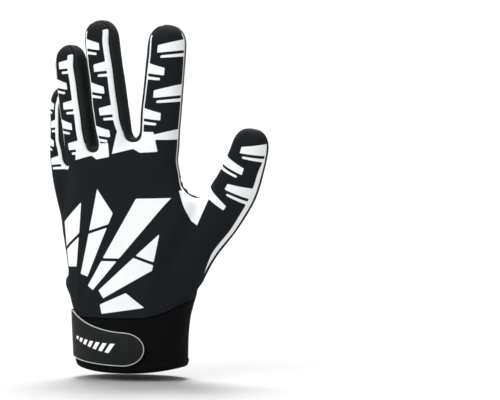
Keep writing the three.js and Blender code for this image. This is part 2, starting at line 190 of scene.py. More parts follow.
floor_mesh = bpy.data.meshes.new("floor")
reach = FLOOR_SIZE / 2
floor_mesh.from_pydata(
    [(-reach, -reach, -FLOOR_DROP), (reach, -reach, -FLOOR_DROP),
     (reach, reach, -FLOOR_DROP), (-reach, reach, -FLOOR_DROP)], [], [(0, 1, 2, 3)])
floor = bpy.data.objects.new("floor", floor_mesh)
bpy.context.scene.collection.objects.link(floor)
paint, wire, shader = new_material("floor_paint")
feed(shader, {"Base Color": tone(170, 170, 170), "Roughness": 1.0, "Specular IOR Level": 0.0})
floor_mesh.materials.append(paint)

# ---------------------------------------------------------------------------------------
# The filled glove's form. It is cut and sewn flat, and fills out to a body that is oval at
# the wrist and flat at the knuckles, with four fingers and a thumb, all on one seam surface
# that curls towards the palm. Worked out in millimetres.
ROUNDNESS = 2.25
HAND = np.array([  # level, left edge, right edge, depth behind the seam, depth before it
    (0, -36.0, 38.0, 24.0, 24.0), (3, -37.2, 39.2, 25.0, 25.0), (20, -37.2, 39.8, 25.0, 25.0),
    (38, -38.4, 41.0, 24.0, 25.0), (50, -41.6, 44.0, 22.5, 24.5), (57, -45.2, 45.0, 21.0, 23.5),
    (65, -43.8, 46.8, 19.5, 22.5), (76, -46.6, 50.0, 18.0, 21.5), (88, -50.4, 53.0, 16.4, 20.0),
    (100, -54.4, 56.6, 15.0, 18.5), (112, -57.0, 56.0, 14.0, 17.0), (117, -57.6, 45.5, 13.6, 16.0),
    (123, -58.0, 36.5, 13.2, 14.8), (132, -57.6, 33.5, 12.2, 13.0), (141, -56.0, 31.5, 9.8, 9.8),
    (147, -53.0, 26.0, 4.5, 4.5)])
HAND_TOP = HAND[-1, 0]
WEB = np.array([(-60, 131.0), (-46.5, 141.0), (-28, 148.3), (2, 157.0), (40, 159.0)])
FINGERS = [  # axis at level 158, lean, bend at the root, from, to, half width, half depth, turn
    dict(x=20.9, lean=0.062, bend=0.0, low=112, top=232.2, width=14.4, depth=11.4, turn=0),
    dict(x=-11.8, lean=-0.16, bend=0.0, low=112, top=235.0, width=13.3, depth=11.2, turn=-9),
    dict(x=-37.4, lean=-0.16, bend=0.04, low=108, top=217.9, width=12.8, depth=10.8, turn=-24),
    dict(x=-54.8, lean=0.0, bend=0.14, low=90, top=189.2, width=11.0, depth=9.6, turn=-46)]
THUMB = np.array([  # axis from the wrist to the tip, half width, half depth
    (24, 4, 46, 13, 13), (32, 6, 66, 17, 16), (43, 7.5, 86, 17.2, 14.8), (60.4, 8.5, 106.4, 16, 13.2),
    (70, 9, 121, 15.6, 12), (77.7, 9.5, 139, 13.6, 11), (81.2, 10, 152, 12.4, 10.4),
    (82.6, 10, 164, 12, 10)])
THUMB_TURN_DEG = 8
TIP_LENGTH, ROOT_FILL, ROOT_LENGTH = 14.0, 0.36, 41.0
FINGER_TAPER = (1.02, 0.9)
RING_PITCH = 2.5
HEM_RISE, HEM_RISE_FADE = 3.4, 24.0
DIGIT_SIDES, VOXEL = 56, 0.85
SMOOTH_ALL, SMOOTH_ROOTS, SMOOTH_SEAMS = 10, 50, 12
WEB_REACH, CROTCH_REACH = 16.0, 13.0  # how far about the roots the skin is smoothed more
FINGERS_TO = 40  # the four fingers lie short of this x
THUMB_CROTCH, THUMB_FOOT = (45.0, 119.0), (27.0, 74.0)  # ends of the thumb's root, in x and z
SLIT_BETWEEN, SLIT_SOFT = 2.2, 1.2


def ease(t):
    """A share clamped to 0..1, flat at both ends: t squared times (3 - 2t)."""
    t = np.clip(t, 0, 1)
    return t * t * (3 - 2 * t)


def mix(a, b, t):
    """The value that is a share t of the way from a to b."""
    return a + (b - a) * t


def cos_sin(degrees):
    """The cosine and the sine of an angle in degrees."""
    return math.cos(math.radians(degrees)), math.sin(math.radians(degrees))


def run_of(points):
    """How far along a line each of its points is."""
    return np.concatenate([[0], np.cumsum(np.linalg.norm(np.diff(points, axis=0), axis=1))])


def read_off(at, run, rows):
    """Each column of some rows read off between them, at places along their run."""
    return np.stack([np.interp(at, run, column) for column in rows.T], -1)


def unit(vectors):
    """Vectors divided by their lengths."""
    return vectors / np.linalg.norm(vectors, axis=-1)[..., None]


def squared(v):
    """Signed power of a sine or cosine, which squares an ellipse a little."""
    return np.sign(v) * np.abs(v) ** (2 / ROUNDNESS)


def hand_size(z, column):
    """A column of the hand's table at a level, averaged over 4 mm so that it has no kinks."""
    return np.mean([np.interp(z + d, HAND[:, 0], HAND[:, column]) for d in (-2, -1, 0, 1, 2)], axis=0)


def web_level(x):
    """The level of the web between the fingers."""
    return np.interp(x, *WEB.T)


def axis_x(finger, z):
    """X of a finger's axis at a level: a leaning line that bends towards its root."""
    return finger["x"] + finger["lean"] * (z - 158) + finger["bend"] * np.maximum(0, 142 - z)


def seam_y(x, z):
    """Y of the surface that the side seams lie on: the hand's arch, cubic in the distance from
    the middle finger, the curl of the fingers, and the step forward of the thumb."""
    x, z = np.asarray(x, float), np.asarray(z, float)
    middle = np.where(z > 158, axis_x(FINGERS[1], z), FINGERS[1]["x"] + (158 - z) * 0.1)
    reach = (middle - x) / 39
    rise = np.where(reach > 1, 1 + 2.4 * (reach - 1), np.maximum(0, reach) ** 3)
    arch = 15 * ease((z - 45) / 95) + 4 * np.clip((z - 140) / 45, 0, 1)
    curl = 6.5 * (np.maximum(0, z - 150) / 85) ** 1.6
    thumb = mix(4, 10, np.clip((z - 45) / 110, 0, 1)) * ease((z - 25) / 35)
    thumb_from = mix(18, 41, ease((z - 60) / 60))
    return arch * rise + curl * (1 - ease((x - 38) / 8)) + thumb * ease((x - thumb_from) / 14)


def hem_rise(z):
    """How much higher the hem is cut at the sides of the wrist, fading up the cuff."""
    return HEM_RISE * (1 - ease(z / HEM_RISE_FADE))


def nose(distance, length):
    """How full a digit is at a distance from its tip: a round nose."""
    back = np.clip(1 - distance / length, 0, 1)
    return np.maximum(0.02, 1 - back ** ROUNDNESS) ** (1 / ROUNDNESS)


def loft(rings):
    """A closed tube through rings of points, an array of (ring, side, xyz), with a fan at each
    end: its points and triangles."""
    count, sides = rings.shape[:2]
    a = np.arange(count - 1)[:, None] * sides + np.arange(sides)
    b = np.arange(count - 1)[:, None] * sides + (np.arange(sides) + 1) % sides
    wall = np.concatenate([np.stack([a, b, b + sides], -1), np.stack([a, b + sides, a + sides], -1)])
    hubs = count * sides
    k, n = np.arange(sides), (np.arange(sides) + 1) % sides
    last = (count - 1) * sides
    ends = [np.stack([np.full(sides, hubs), n, k], -1),
            np.stack([np.full(sides, hubs + 1), last + k, last + n], -1)]
    points = np.concatenate([rings.reshape(-1, 3), rings[0].mean(0)[None], rings[-1].mean(0)[None]])
    return points, np.concatenate([wall.reshape(-1, 3), *ends])


def circle(count):
    """Angles evenly round a circle, in radians."""
    return np.linspace(0, 2 * np.pi, count, endpoint=False)


def hand_oval(angle, z):
    """Points of the hand's oval at angles and levels: 0 is the thumb's side, then the palm."""
    left, right, back, palm = [hand_size(z, column) for column in (1, 2, 3, 4)]
    x = (left + right) / 2 + (right - left) / 2 * squared(np.cos(angle))
    around, z = squared(np.sin(angle)), z + 0 * x
    return np.stack([x, seam_y(x, z) + np.where(around < 0, back, palm) * around, z], -1)


def hand_form():
    """Ovals over the hand's levels. The last ones follow the web between the fingers."""
    z = np.concatenate([np.linspace(0, 112, 57), np.linspace(113, HAND_TOP, 24)])[:, None]
    angle = circle(96)[None, :]
    rings = hand_oval(angle, z)
    lifted = ease((z - 118) / 22) * (web_level(rings[..., 0]) - HAND_TOP)
    rings[..., 2] += lifted + hem_rise(z) * np.cos(angle) ** 2
    return loft(rings)


def kept_apart(points, near, far, side):
    """A finger's points moved off the middle plane between two fingers, softly, so that half a
    slit is left: the distance d from the slit becomes soft times log(1 + exp(d / soft))."""
    share = near["width"] / (near["width"] + far["width"])
    middle = mix(axis_x(near, points[..., 2]), axis_x(far, points[..., 2]), share) + side * SLIT_BETWEEN / 2
    x = middle + side * SLIT_SOFT * np.logaddexp(0, side * (points[..., 0] - middle) / SLIT_SOFT)
    return np.stack([x, points[..., 1], points[..., 2]], -1)


def finger_form(f):
    """Rounded ovals up a finger's axis, thin at the buried root and with a round nose. The
    middle and the ring finger lie side by side and flatten each other."""
    low, top = f["low"], f["top"]
    tip = top - TIP_LENGTH * np.array([1, 0.8, 0.62, 0.46, 0.32, 0.2, 0.11, 0.045, 0.008])
    z = np.concatenate([np.arange(low, tip[0] - 1, RING_PITCH), tip])[:, None]
    angle = circle(DIGIT_SIDES)[None, :]
    c, s = cos_sin(f["turn"])
    along = np.clip((z - low) / (top - low), 0, 1)
    fill = mix(ROOT_FILL, 1, ease((z - low) / ROOT_LENGTH)) * mix(*FINGER_TAPER, along)
    fill = fill * nose(top - z, TIP_LENGTH)
    x = axis_x(f, z)
    centre = np.stack([x, seam_y(x, z), z], -1)
    wide = (f["width"] * fill * squared(np.cos(angle)))[..., None] * unit(np.array([c, s, -f["lean"] * c]))
    deep = (f["depth"] * fill * squared(np.sin(angle)))[..., None] * np.array([-s, c, 0])
    rings = centre + wide + deep
    if f is FINGERS[1]:
        rings = kept_apart(rings, f, FINGERS[2], 1)
    if f is FINGERS[2]:
        rings = kept_apart(rings, f, FINGERS[1], -1)
    return loft(rings)


def thumb_axis(count):
    """Evenly spaced points on a smooth curve through the thumb's stations, with half sizes:
    cubic pieces whose slopes are the differences of the neighbouring stations."""
    knots = run_of(THUMB[:, :3])
    slopes = np.gradient(THUMB[:, :3], knots, axis=0)
    s = np.linspace(0, knots[-1], count)
    k = np.clip(np.searchsorted(knots, s, side="right") - 1, 0, len(knots) - 2)
    gap = (knots[k + 1] - knots[k])[:, None]
    t = (s[:, None] - knots[k][:, None]) / gap
    at = ((2 * t ** 3 - 3 * t ** 2 + 1) * THUMB[k, :3] + (t ** 3 - 2 * t ** 2 + t) * gap * slopes[k]
          + (3 * t ** 2 - 2 * t ** 3) * THUMB[k + 1, :3] + (t ** 3 - t ** 2) * gap * slopes[k + 1])
    width, depth = read_off(at[:, 2], THUMB[:, 2], THUMB[:, 3:]).T
    return at, s, width, depth


def thumb_form():
    """Rounded ovals square to the thumb's axis, with a round nose."""
    at, s, width, depth = thumb_axis(241)
    left = s[-1] - s
    tip = TIP_LENGTH * np.array([1, 0.8, 0.62, 0.46, 0.32, 0.2, 0.1, 0.04])
    rows = [int(np.argmin(np.abs(left - d)))
            for d in [*np.arange(s[-1], TIP_LENGTH + 1, -RING_PITCH), *tip]]
    along = unit(np.gradient(at, s, axis=0))[rows]
    side = np.array([*cos_sin(THUMB_TURN_DEG), 0])
    across = unit(side - (along @ side)[:, None] * along)
    through = np.cross(along, across)
    angle = circle(DIGIT_SIDES)[None, :]
    fill = nose(left[rows], TIP_LENGTH)
    wide = ((width[rows] * fill)[:, None] * squared(np.cos(angle)))[..., None] * across[:, None]
    deep = ((depth[rows] * fill)[:, None] * squared(np.sin(angle)))[..., None] * through[:, None]
    return loft(at[rows][:, None] + wide + deep)


def arrays_of(mesh):
    """A mesh's points and triangles as arrays."""
    points = np.empty(len(mesh.vertices) * 3)
    mesh.vertices.foreach_get("co", points)
    mesh.calc_loop_triangles()
    faces = np.empty(len(mesh.loop_triangles) * 3, np.int32)
    mesh.loop_triangles.foreach_get("vertices", faces)
    return points.reshape(-1, 3), faces.reshape(-1, 3)


def joined(forms, voxel):
    """Several overlapping closed forms made one skin, by remeshing them on a grid."""
    starts = np.cumsum([0] + [len(points) for points, _ in forms[:-1]])
    raw = bpy.data.meshes.new("raw")
    raw.from_pydata(np.concatenate([p for p, _ in forms]).tolist(), [],
                    np.concatenate([f + s for (_, f), s in zip(forms, starts)]).tolist())
    holder = bpy.data.objects.new("raw", raw)
    bpy.context.scene.collection.objects.link(holder)
    remesh = holder.modifiers.new("remesh", "REMESH")
    remesh.mode, remesh.voxel_size, remesh.adaptivity = "VOXEL", voxel, 0
    bpy.context.view_layer.update()
    fused = holder.evaluated_get(bpy.context.evaluated_depsgraph_get()).to_mesh()
    made = arrays_of(fused)
    bpy.data.objects.remove(holder)
    return made


def sides_of_faces(faces):
    """The three directed edges of every triangle."""
    return np.concatenate([faces[:, [0, 1]], faces[:, [1, 2]], faces[:, [2, 0]]]).astype(np.int64)


def edges_of(faces):
    """The pairs of points that share an edge, each pair once."""
    return np.unique(np.sort(sides_of_faces(faces), axis=1), axis=0)


def sum_of_neighbours(rows, a, b):
    """For each row the sum of the rows that edges from a to b join it to."""
    return np.stack([np.bincount(a, column[b], len(rows)) + np.bincount(b, column[a], len(rows))
                     for column in rows.T], -1)


def smoothed(points, faces, rounds, share=1.0):
    """Each point moved half way to the mean of its neighbours, so many times over, or a share
    of that."""
    a, b = edges_of(faces).T
    count = sum_of_neighbours(np.ones((len(points), 1)), a, b)
    points = points.copy()
    for _ in range(rounds):
        points += 0.5 * np.reshape(share, (-1, 1)) * (sum_of_neighbours(points, a, b) / count - points)
    return points


def normals_of(points, faces):
    """Outward directions at the points: the sum of their faces' areas as vectors."""
    a, b, c = (points[faces[:, k]] for k in range(3))
    area = np.cross(b - a, c - a)
    total = np.stack([sum(np.bincount(faces[:, j], area[:, k], len(points)) for j in range(3))
                      for k in range(3)], -1)
    return total / np.maximum(np.linalg.norm(total, axis=1), 1e-9)[:, None]


def to_segment(x, z, start, end):
    """Distance in (x, z) from a straight line between two places."""
    start, end = np.array(start), np.array(end)
    place, line = np.stack([x, z], -1) - start, end - start
    share = np.clip(place @ line / (line @ line), 0, 1)
    return np.linalg.norm(place - share[..., None] * line, axis=-1)


skin_points, skin_faces = joined([hand_form(), *[finger_form(f) for f in FINGERS], thumb_form()], VOXEL)
skin_points = smoothed(skin_points, skin_faces, SMOOTH_ALL)
x, y, z = skin_points.T
near_web = ease(1.4 - np.abs(z - web_level(x) + 4) / WEB_REACH) * (x < FINGERS_TO)
near_crotch = ease(1.4 - to_segment(x, z, THUMB_CROTCH, THUMB_FOOT) / CROTCH_REACH)
skin_points = smoothed(skin_points, skin_faces, SMOOTH_ROOTS, np.maximum(near_web, near_crotch))


# Swells of the palm and the knuckles, and folds of the cloth, in millimetres along the normal.
PADS = [  # x, z, half sizes, turn in degrees, height; on the palm's side
    (35, 80, 15, 27, -24, 2.0), (-32, 66, 13, 27, 8, 1.4), (-4, 94, 19, 25, 0, -2.2),
    (23, 143, 10, 8, 0, 0.9), (-7, 141, 10, 8, 0, 0.9), (-33, 134, 9, 8, 0, 0.8), (79, 143, 7, 10, 0, 0.6)]
KNUCKLES = [  # the same on the back of the hand
    (23, 141, 9, 9, 0, 0.9), (-8, 143, 9, 9, 0, 1.0), (-33, 137, 8, 9, 0, 0.9), (-50, 124, 6, 8, 0, 0.6),
    (8, 146, 5, 10, 0, -0.6), (-21, 142, 5, 10, 0, -0.6), (-42, 132, 4, 9, 0, -0.5),
    (-31.5, 55, 2.4, 13, 4, 0.8), (-26, 53, 2.6, 12, 4, -0.5), (42, 66, 3, 13, -38, -0.5)]
JOINT_CREASES = [(0.36, 0.55), (0.66, 0.6)]  # share of the finger from its tip, depth
FINGER_FROM, LITTLE_LOWER = 148, 3  # the little finger's creases lie lower
FOLDS_FROM, FOLDS_AT = (44, 131), 15  # the thumb's crotch, and how far from it they are deepest
WRIST_FOLDS_AT = 52


def bump(x, z, row):
    """A round hill: the height times exp of minus the squared distance in half sizes."""
    at_x, at_z, half_x, half_z, degrees, height = row
    c, s = cos_sin(degrees)
    u, v = (x - at_x) * c + (z - at_z) * s, (z - at_z) * c - (x - at_x) * s
    return height * np.exp(-(u / half_x) ** 2 - (v / half_z) ** 2)


def relief(points, normals):
    """Hills and folds: pads of the palm, knuckles, creases across the finger joints, folds that
    fan out from the thumb's crotch, and a faint unevenness of sines everywhere."""
    x, y, z = points.T
    palm = ease((normals[:, 1] + 0.1) / 0.7)
    back = ease((-normals[:, 1] + 0.1) / 0.7)
    height = palm * sum(bump(x, z, row) for row in PADS) + back * sum(bump(x, z, row) for row in KNUCKLES)
    for f in FINGERS:
        beside = ease(1.6 - np.hypot(x - axis_x(f, z), y - seam_y(axis_x(f, z), z)) / (0.8 * f["width"]))
        for share, deep in JOINT_CREASES:
            joint = f["top"] - share * (f["top"] - FINGER_FROM) - LITTLE_LOWER * (f is FINGERS[3])
            wave = z - joint + 0.6 * np.sin(x / 3.1)
            height -= beside * palm * deep * np.exp(-(wave / 1.7) ** 2)
            height -= beside * palm * 0.5 * deep * np.exp(-((wave + 4.2) / 1.5) ** 2)
            height += beside * back * 0.35 * np.exp(-(wave / 6) ** 2)
    off_x, below = x - FOLDS_FROM[0], FOLDS_FROM[1] - z
    far, round_it = np.hypot(off_x, below), np.arctan2(off_x, below)
    fan = np.cos(13 * round_it + 0.9 * np.sin(far / 4.5) + 0.4) * np.exp(-((far - FOLDS_AT) / 8) ** 2)
    height += fan * (0.75 * palm + 0.14 * back) * (below > 0)
    wrist = np.sin(z / 1.5 + 1.1 * np.sin(x / 11) + 0.5 * np.sin(x / 4.3))
    wrist *= np.exp(-((z - WRIST_FOLDS_AT) / 8) ** 2)
    height += 0.16 * palm * wrist * (1 + np.sin(x / 8 + 1))
    rough = sum(np.sin(x / a + z / b + y / c + d) for a, b, c, d in (
        (7.3, 9.1, 8.0, 0.4), (-5.1, 6.7, 7.0, 2.1), (11.3, -7.9, 9.0, 4.0), (4.4, 5.3, -6.0, 5.2)))
    return height + 0.06 * rough


normals = normals_of(skin_points, skin_faces)
skin_points = skin_points + normals * relief(skin_points, normals)[:, None]
skin = np.concatenate([skin_points, normals_of(skin_points, skin_faces)], axis=1), skin_faces


MOVED_SHARE = 0.18  # of an edge: rows this near a cut are moved onto it


def parted(cloth, field):
    """Cloth, as rows of place and normal with triangles, on the positive and on the negative
    side of a field over its places. Rows within a share of an edge from the field's zero line
    move onto it, and faces across it are split along it, into two or three."""
    rows, faces = cloth[0].copy(), cloth[1]
    value = field(*rows[:, :3].T)
    pairs = edges_of(faces)
    cross = value[pairs[:, 0]] * value[pairs[:, 1]] < 0
    a, b = pairs[cross].T
    share = value[a] / (value[a] - value[b])
    for near, far, part in ((a, b, share), (b, a, 1 - share)):
        close = part < MOVED_SHARE
        rows[near[close]] = mix(rows[near[close]], rows[far[close]], part[close, None])
        value[near[close]] = 0
    cross = value[pairs[:, 0]] * value[pairs[:, 1]] < 0
    a, b = pairs[cross].T
    share = (value[a] / (value[a] - value[b]))[:, None]
    total = len(rows)
    rows = np.concatenate([rows, mix(rows[a], rows[b], share)])
    keys = a * total + b

    def between(i, j):
        """The new row on the edge between two rows."""
        low, high = np.minimum(i, j).astype(np.int64), np.maximum(i, j)
        return total + np.searchsorted(keys, low * total + high)

    def rolled(some, first):
        """The corners of faces, each face started at its own first corner."""
        return np.take_along_axis(some, (first[:, None] + np.arange(3)) % 3, 1)

    sign = np.sign(value[faces]).astype(int)
    split = np.stack([sign[:, k] * sign[:, (k + 1) % 3] < 0 for k in range(3)], 1).sum(1)
    whole, side = [faces[split == 0]], [np.sign(sign[split == 0].sum(1))]
    some, signs = faces[split == 1], sign[split == 1]
    first = np.argmax(signs == 0, axis=1)
    some, signs = rolled(some, first), rolled(signs, first)
    middle = between(some[:, 1], some[:, 2])
    whole += [np.stack([some[:, 0], some[:, 1], middle], 1), np.stack([some[:, 0], middle, some[:, 2]], 1)]
    side += [signs[:, 1], signs[:, 2]]
    some, signs = faces[split == 2], sign[split == 2]
    first = np.argmax(signs == -np.sign(signs.sum(1))[:, None], axis=1)
    some, signs = rolled(some, first), rolled(signs, first)
    p, q = between(some[:, 0], some[:, 1]), between(some[:, 0], some[:, 2])
    whole += [np.stack([some[:, 0], p, q], 1), np.stack([p, some[:, 1], some[:, 2]], 1),
              np.stack([p, some[:, 2], q], 1)]
    side += [signs[:, 0], signs[:, 1], signs[:, 2]]
    whole, side = np.concatenate(whole), np.concatenate(side)
    rows = evened(rows, whole[side >= 0], whole[side < 0])
    return tidy(rows, whole[side >= 0]), tidy(rows, whole[side < 0])


def evened(rows, above, below):
    """Rows on the line between two groups of faces, each moved half way to the mean of its two
    neighbours on the line, many times over. Rows where the line ends stay."""
    size = len(rows)
    pairs = [edges_of(faces) for faces in (above, below)]
    keys = np.intersect1d(*(p[:, 0] * size + p[:, 1] for p in pairs))
    line, ends = np.unique(np.stack([keys // size, keys % size]), return_inverse=True)
    a, b = ends.reshape(2, -1)
    inner = (np.bincount(np.concatenate([a, b])) == 2)[:, None]
    some = rows[line]
    for _ in range(SMOOTH_SEAMS):
        some = np.where(inner, mix(some, sum_of_neighbours(some, a, b) / 2, 0.5), some)
    rows = rows.copy()
    rows[line] = some
    return rows


def tidy(rows, faces):
    """The rows that the faces use, and the faces numbered by them."""
    used, numbered = np.unique(faces, return_inverse=True)
    return rows[used], numbered.reshape(-1, 3)


# Where the panels part. Each field is positive inside its piece.
HEM_HEIGHT = 6.0
SLIT_TOP, SLIT_AT_HEM, SLIT_AT_TOP = 62.0, 2.2, 1.0
SLIT_ROUNDS, SLIT_SIDE = 2.0, -25.0  # how far below its top it rounds off, the x it lies left of
CUFF_EDGE = np.array([(-120, 37), (-10, 37), (18, 37.6), (30, 41), (40, 47.5), (46, 51), (140, 51)])
FOURCHETTE_HALF, FOURCHETTE_FROM = 7.0, 0.3
FOURCHETTE_DROP, FOURCHETTE_TIP = 8.0, 15.0  # how far it reaches below the web, and narrows
ON_SURFACE = 1.03  # up to this share of a finger's half sizes a point is on its surface
DIGIT_HALF = 12  # a digit's usual half width


def hem_top(x):
    """The level of the hem binding's upper edge."""
    return HEM_HEIGHT + hem_rise(HEM_HEIGHT) * ((x - 1) / 38) ** 2


def cuff_top(x):
    """The level of the cuff band's upper edge, averaged so that it bends smoothly."""
    return np.mean([np.interp(x + d, *CUFF_EDGE.T) for d in (-5, -2.5, 0, 2.5, 5)], axis=0)


def slit_half(z):
    """Half the slit's width at a level, narrowing evenly from the hem to its top."""
    return mix(SLIT_AT_HEM, SLIT_AT_TOP, np.clip(z / SLIT_TOP, 0, 1))


def in_slit(x, y, z):
    """A narrow wedge on the little finger's side, with a round end."""
    end = np.hypot(y - seam_y(x, z), np.maximum(0, z - SLIT_TOP + SLIT_ROUNDS)) - slit_half(z)
    return np.minimum(-end, SLIT_SIDE - x)


def on_finger(f, x, y, z):
    """Where a point lies about a finger's axis, in millimetres: across its width and through
    its depth, both turned with the finger."""
    c, s = cos_sin(f["turn"])
    off_x, off_y = x - axis_x(f, z), y - seam_y(axis_x(f, z), z)
    return off_x * c + off_y * s, off_y * c - off_x * s


def facing_side(f, toward, web, x, y, z):
    """How far inside the band down one side of a finger a point is, toward -1 for its outer
    side: a band about the seam surface at the web and about the finger's middle above it, round
    at the web and narrower over the tip. Also the distance from the finger's axis, more beside
    its tip, and that distance as a share of its half sizes, about 1 on its surface."""
    across, deep = on_finger(f, x, y, z)
    far = np.sqrt(across ** 2 + deep ** 2 + (1.2 * np.maximum(0, z - f["top"] + 8)) ** 2)
    share = np.hypot(across / f["width"], deep / f["depth"])
    off_middle = mix(np.abs(y - seam_y(x, z)), np.abs(deep), ease((z - web) / 14))
    above_end = z - web + FOURCHETTE_DROP
    half = FOURCHETTE_HALF * np.sqrt(1 - (1 - np.clip(above_end / FOURCHETTE_DROP, 0, 1)) ** 2)
    half = half * (1 - 0.4 * ease(1 - (f["top"] - z) / FOURCHETTE_TIP))
    inward = toward * across - FOURCHETTE_FROM * f["width"]
    return np.min([half - off_middle, inward, above_end], axis=0), far, share


def in_fourchette(inner, outer):
    """The facing sides of two fingers: each point goes by the nearer finger, and beside the
    shorter one's tip also by the longer one where it lies on that one's surface."""
    web = web_level((inner["x"] + outer["x"]) / 2)

    def field(x, y, z):
        sides = [facing_side(inner, -1, web, x, y, z), facing_side(outer, 1, web, x, y, z)]
        nearer = np.where(sides[0][1] < sides[1][1], sides[0][0], sides[1][0])
        longer, _, share = sides[0] if inner["top"] > outer["top"] else sides[1]
        beside_tip = z - min(inner["top"], outer["top"]) + TIP_LENGTH
        on_longer = (ON_SURFACE - share) * DIGIT_HALF
        return np.maximum(nearer, np.min([longer, on_longer, beside_tip], axis=0))

    return field


_, above_hem = parted(skin, lambda x, y, z: hem_top(x) - z)
_, sleeve = parted(above_hem, in_slit)
fourchettes = []
for inner, outer in zip(FINGERS[:-1], FINGERS[1:]):
    strip, sleeve = parted(sleeve, in_fourchette(inner, outer))
    fourchettes.append(strip)
palm_cloth, back_cloth = parted(sleeve, lambda x, y, z: y - seam_y(x, z))
cuff_cloth, back_cloth = parted(back_cloth, lambda x, y, z: cuff_top(x) - z)

# ---------------------------------------------------------------------------------------
# The back panel: printed four-way stretch knit over the back of the hand, the fingers and
# the thumb. It is sewn to the palm and the fourchettes with turned seams, and its hemmed
# lower edge lies on the cuff. The print is a plain fan of shards, and wedges up the fingers.
BACK_WALL = 1.3
SEAM_TUCK, SEAM_TUCK_WIDTH = 0.9, 1.8
HEM_SWELL, HEM_SWELL_WIDTH, HEM_TUCK, HEM_TUCK_WIDTH = 0.7, 9.0, 0.5, 0.9
LINE_FROM, WEB_LINE, WEB_LINE_DROP = 0.8, 2.3, 18  # the line's inset, width and end at the webs
LINE_ENDS, THUMB_LINE_END = (6.5, 5.5), 7  # left and right, from the tip
THUMB_LINE, CROTCH_LINE, CROTCH_LINE_REACH = 1.4, 4.0, 16  # widths, and the wide part's reach
THUMB_PAST, THUMB_LONG = 42, 70  # the thumb's print lies past this x, this far from its tip
OFF_THUMB = 99.0
STRIP_WIDE, STRIP_OFF, STRIP_FROM, STRIP_TO, STRIP_FADE = 5.6, 0.5, 58, 156, 24
EDGE_LINES = [(1.9, 0.9), (1.9, 3.9), (1.6, 3.9), (1.4, 2.4)]  # each finger's left and right line
MOTIF = [  # each shape of a wedge and its bar: how far across, edge from and to, end from and to
    (14.6, 0, 8.2, 5.5, 10.4), (12.4, 10.2, 12.6, 12.2, 13.8)]
MOTIF_PITCH = 15.0
MOTIF_ROWS = [  # each finger's first side, start from the tip, pitch
    (1, 8.0, 15.0), (-1, 10.0, 14.5), (1, 7.0, 13.5), (-1, 7.0, 12.5)]
THUMB_ROW = (1, 8.0, 13.5)
THUMB_LAST = 56.6
RAY_CENTRE = (-36.0, 36.0)
RAYS = [  # directions in degrees, then each edge's start and end, then where a gap splits it
    (9, 24, 24, 54, 44, 70), (30, 43, 28, 66, 84, 66), (50, 61, 25, 106, 92, 48), (68, 79, 30, 76, 88, 62),
    (87, 101, 34, 77, 64, 50)]
RAY_GAP, RAY_GAP_DEG = 2.0, 35  # the gap's width and how far it leans off square
BLOCKS = [  # corners of the patches at the thumb's crotch and under two of the webs
    [(36, 122), (58, 121), (49, 99), (45, 102)],
    [(-6, 161), (20, 161), (23, 148), (10, 147), (5, 149.5), (-9, 146)],
    [(-36, 152), (-12, 153), (-11, 144), (-21, 142), (-25, 144.5), (-37, 141)]]


def rim_edges(faces):
    """The directed edges of faces that no other face shares, which run round the rims."""
    edges, size = sides_of_faces(faces), faces.max() + 1
    alone = ~np.isin(edges[:, 0] * size + edges[:, 1], edges[:, 1] * size + edges[:, 0])
    return edges[alone]


def reach_to(points, targets):
    """Distance from each point to the nearest target, in blocks: the root of the two squared
    lengths less twice the dot product."""
    points, targets = points.astype(np.float32), targets.astype(np.float32)
    middle = targets.mean(0)
    points, targets = points - middle, targets - middle
    own, theirs = (points ** 2).sum(1), (targets ** 2).sum(1)
    least = np.concatenate([(theirs - 2 * points[k:k + 2000] @ targets.T).min(1)
                            for k in range(0, len(points), 2000)])
    return np.sqrt(np.maximum(own + least, 0))


def rim_points(cloth, chosen=None):
    """Points along a cloth's rims, four to an edge, or along those edges that a test of the
    middle point's x, y and z picks."""
    rows, faces = cloth
    a, b = rows[rim_edges(faces)][..., :3].transpose(1, 0, 2)
    if chosen is not None:
        keep = chosen(*((a + b) / 2).T)
        a, b = a[keep], b[keep]
    return np.concatenate([mix(a, b, t) for t in (0, 0.25, 0.5, 0.75)])


def rolled_in(cloth, rim, width=SEAM_TUCK_WIDTH, depth=SEAM_TUCK):
    """Cloth whose edge turns in near a rim: it sinks by the depth times the square of
    (1 - distance / width)."""
    rows, faces = cloth
    near = np.clip(1 - reach_to(rows[:, :3], rim) / width, 0, 1)
    rows = rows.copy()
    rows[:, :3] -= rows[:, 3:] * (depth * near ** 2)[:, None]
    return rows, faces


cloth_back, wire, shader = new_material("cloth_back")
brushed = wire.noise(900.0, 4.0)
feed(shader, {"Base Color": brushed.colour(tone(16, 17, 18), tone(34, 36, 37)), "Roughness": 0.95,
              "Specular IOR Level": 0.05, "Normal": brushed.bumped(0.5, 0.0002)})


def piece(name, rows, faces, material, slot, values=None, wall=None):
    """A smooth-shaded piece in metres from rows in millimetres, with its own values at the
    points, its material and the body that it rides on. The slot is not used. Where it has a
    wall, it gets an inner layer, which shows the plain brushed back of the cloth."""
    mesh = bpy.data.meshes.new(name)
    mesh.from_pydata((rows[:, :3] / 1000).tolist(), [], faces.tolist())
    mesh.shade_smooth()
    for key, value in (values or {}).items():
        mesh.attributes.new(key, "FLOAT", "POINT").data.foreach_set("value", value.astype(np.float32))
    mesh.materials.append(material)
    made = bpy.data.objects.new(name, mesh)
    bpy.context.scene.collection.objects.link(made)
    if wall:
        layer = made.modifiers.new("wall", "SOLIDIFY")
        layer.thickness, layer.offset, layer.material_offset = wall / 1000, -1, 1
        mesh.materials.append(cloth_back)
    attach(made, "root")
    return made


def at_cuff_top(x, y, z):
    """Whether points are on the line where the back panel meets the cuff band."""
    return np.abs(z - cuff_top(x)) <= 0.3


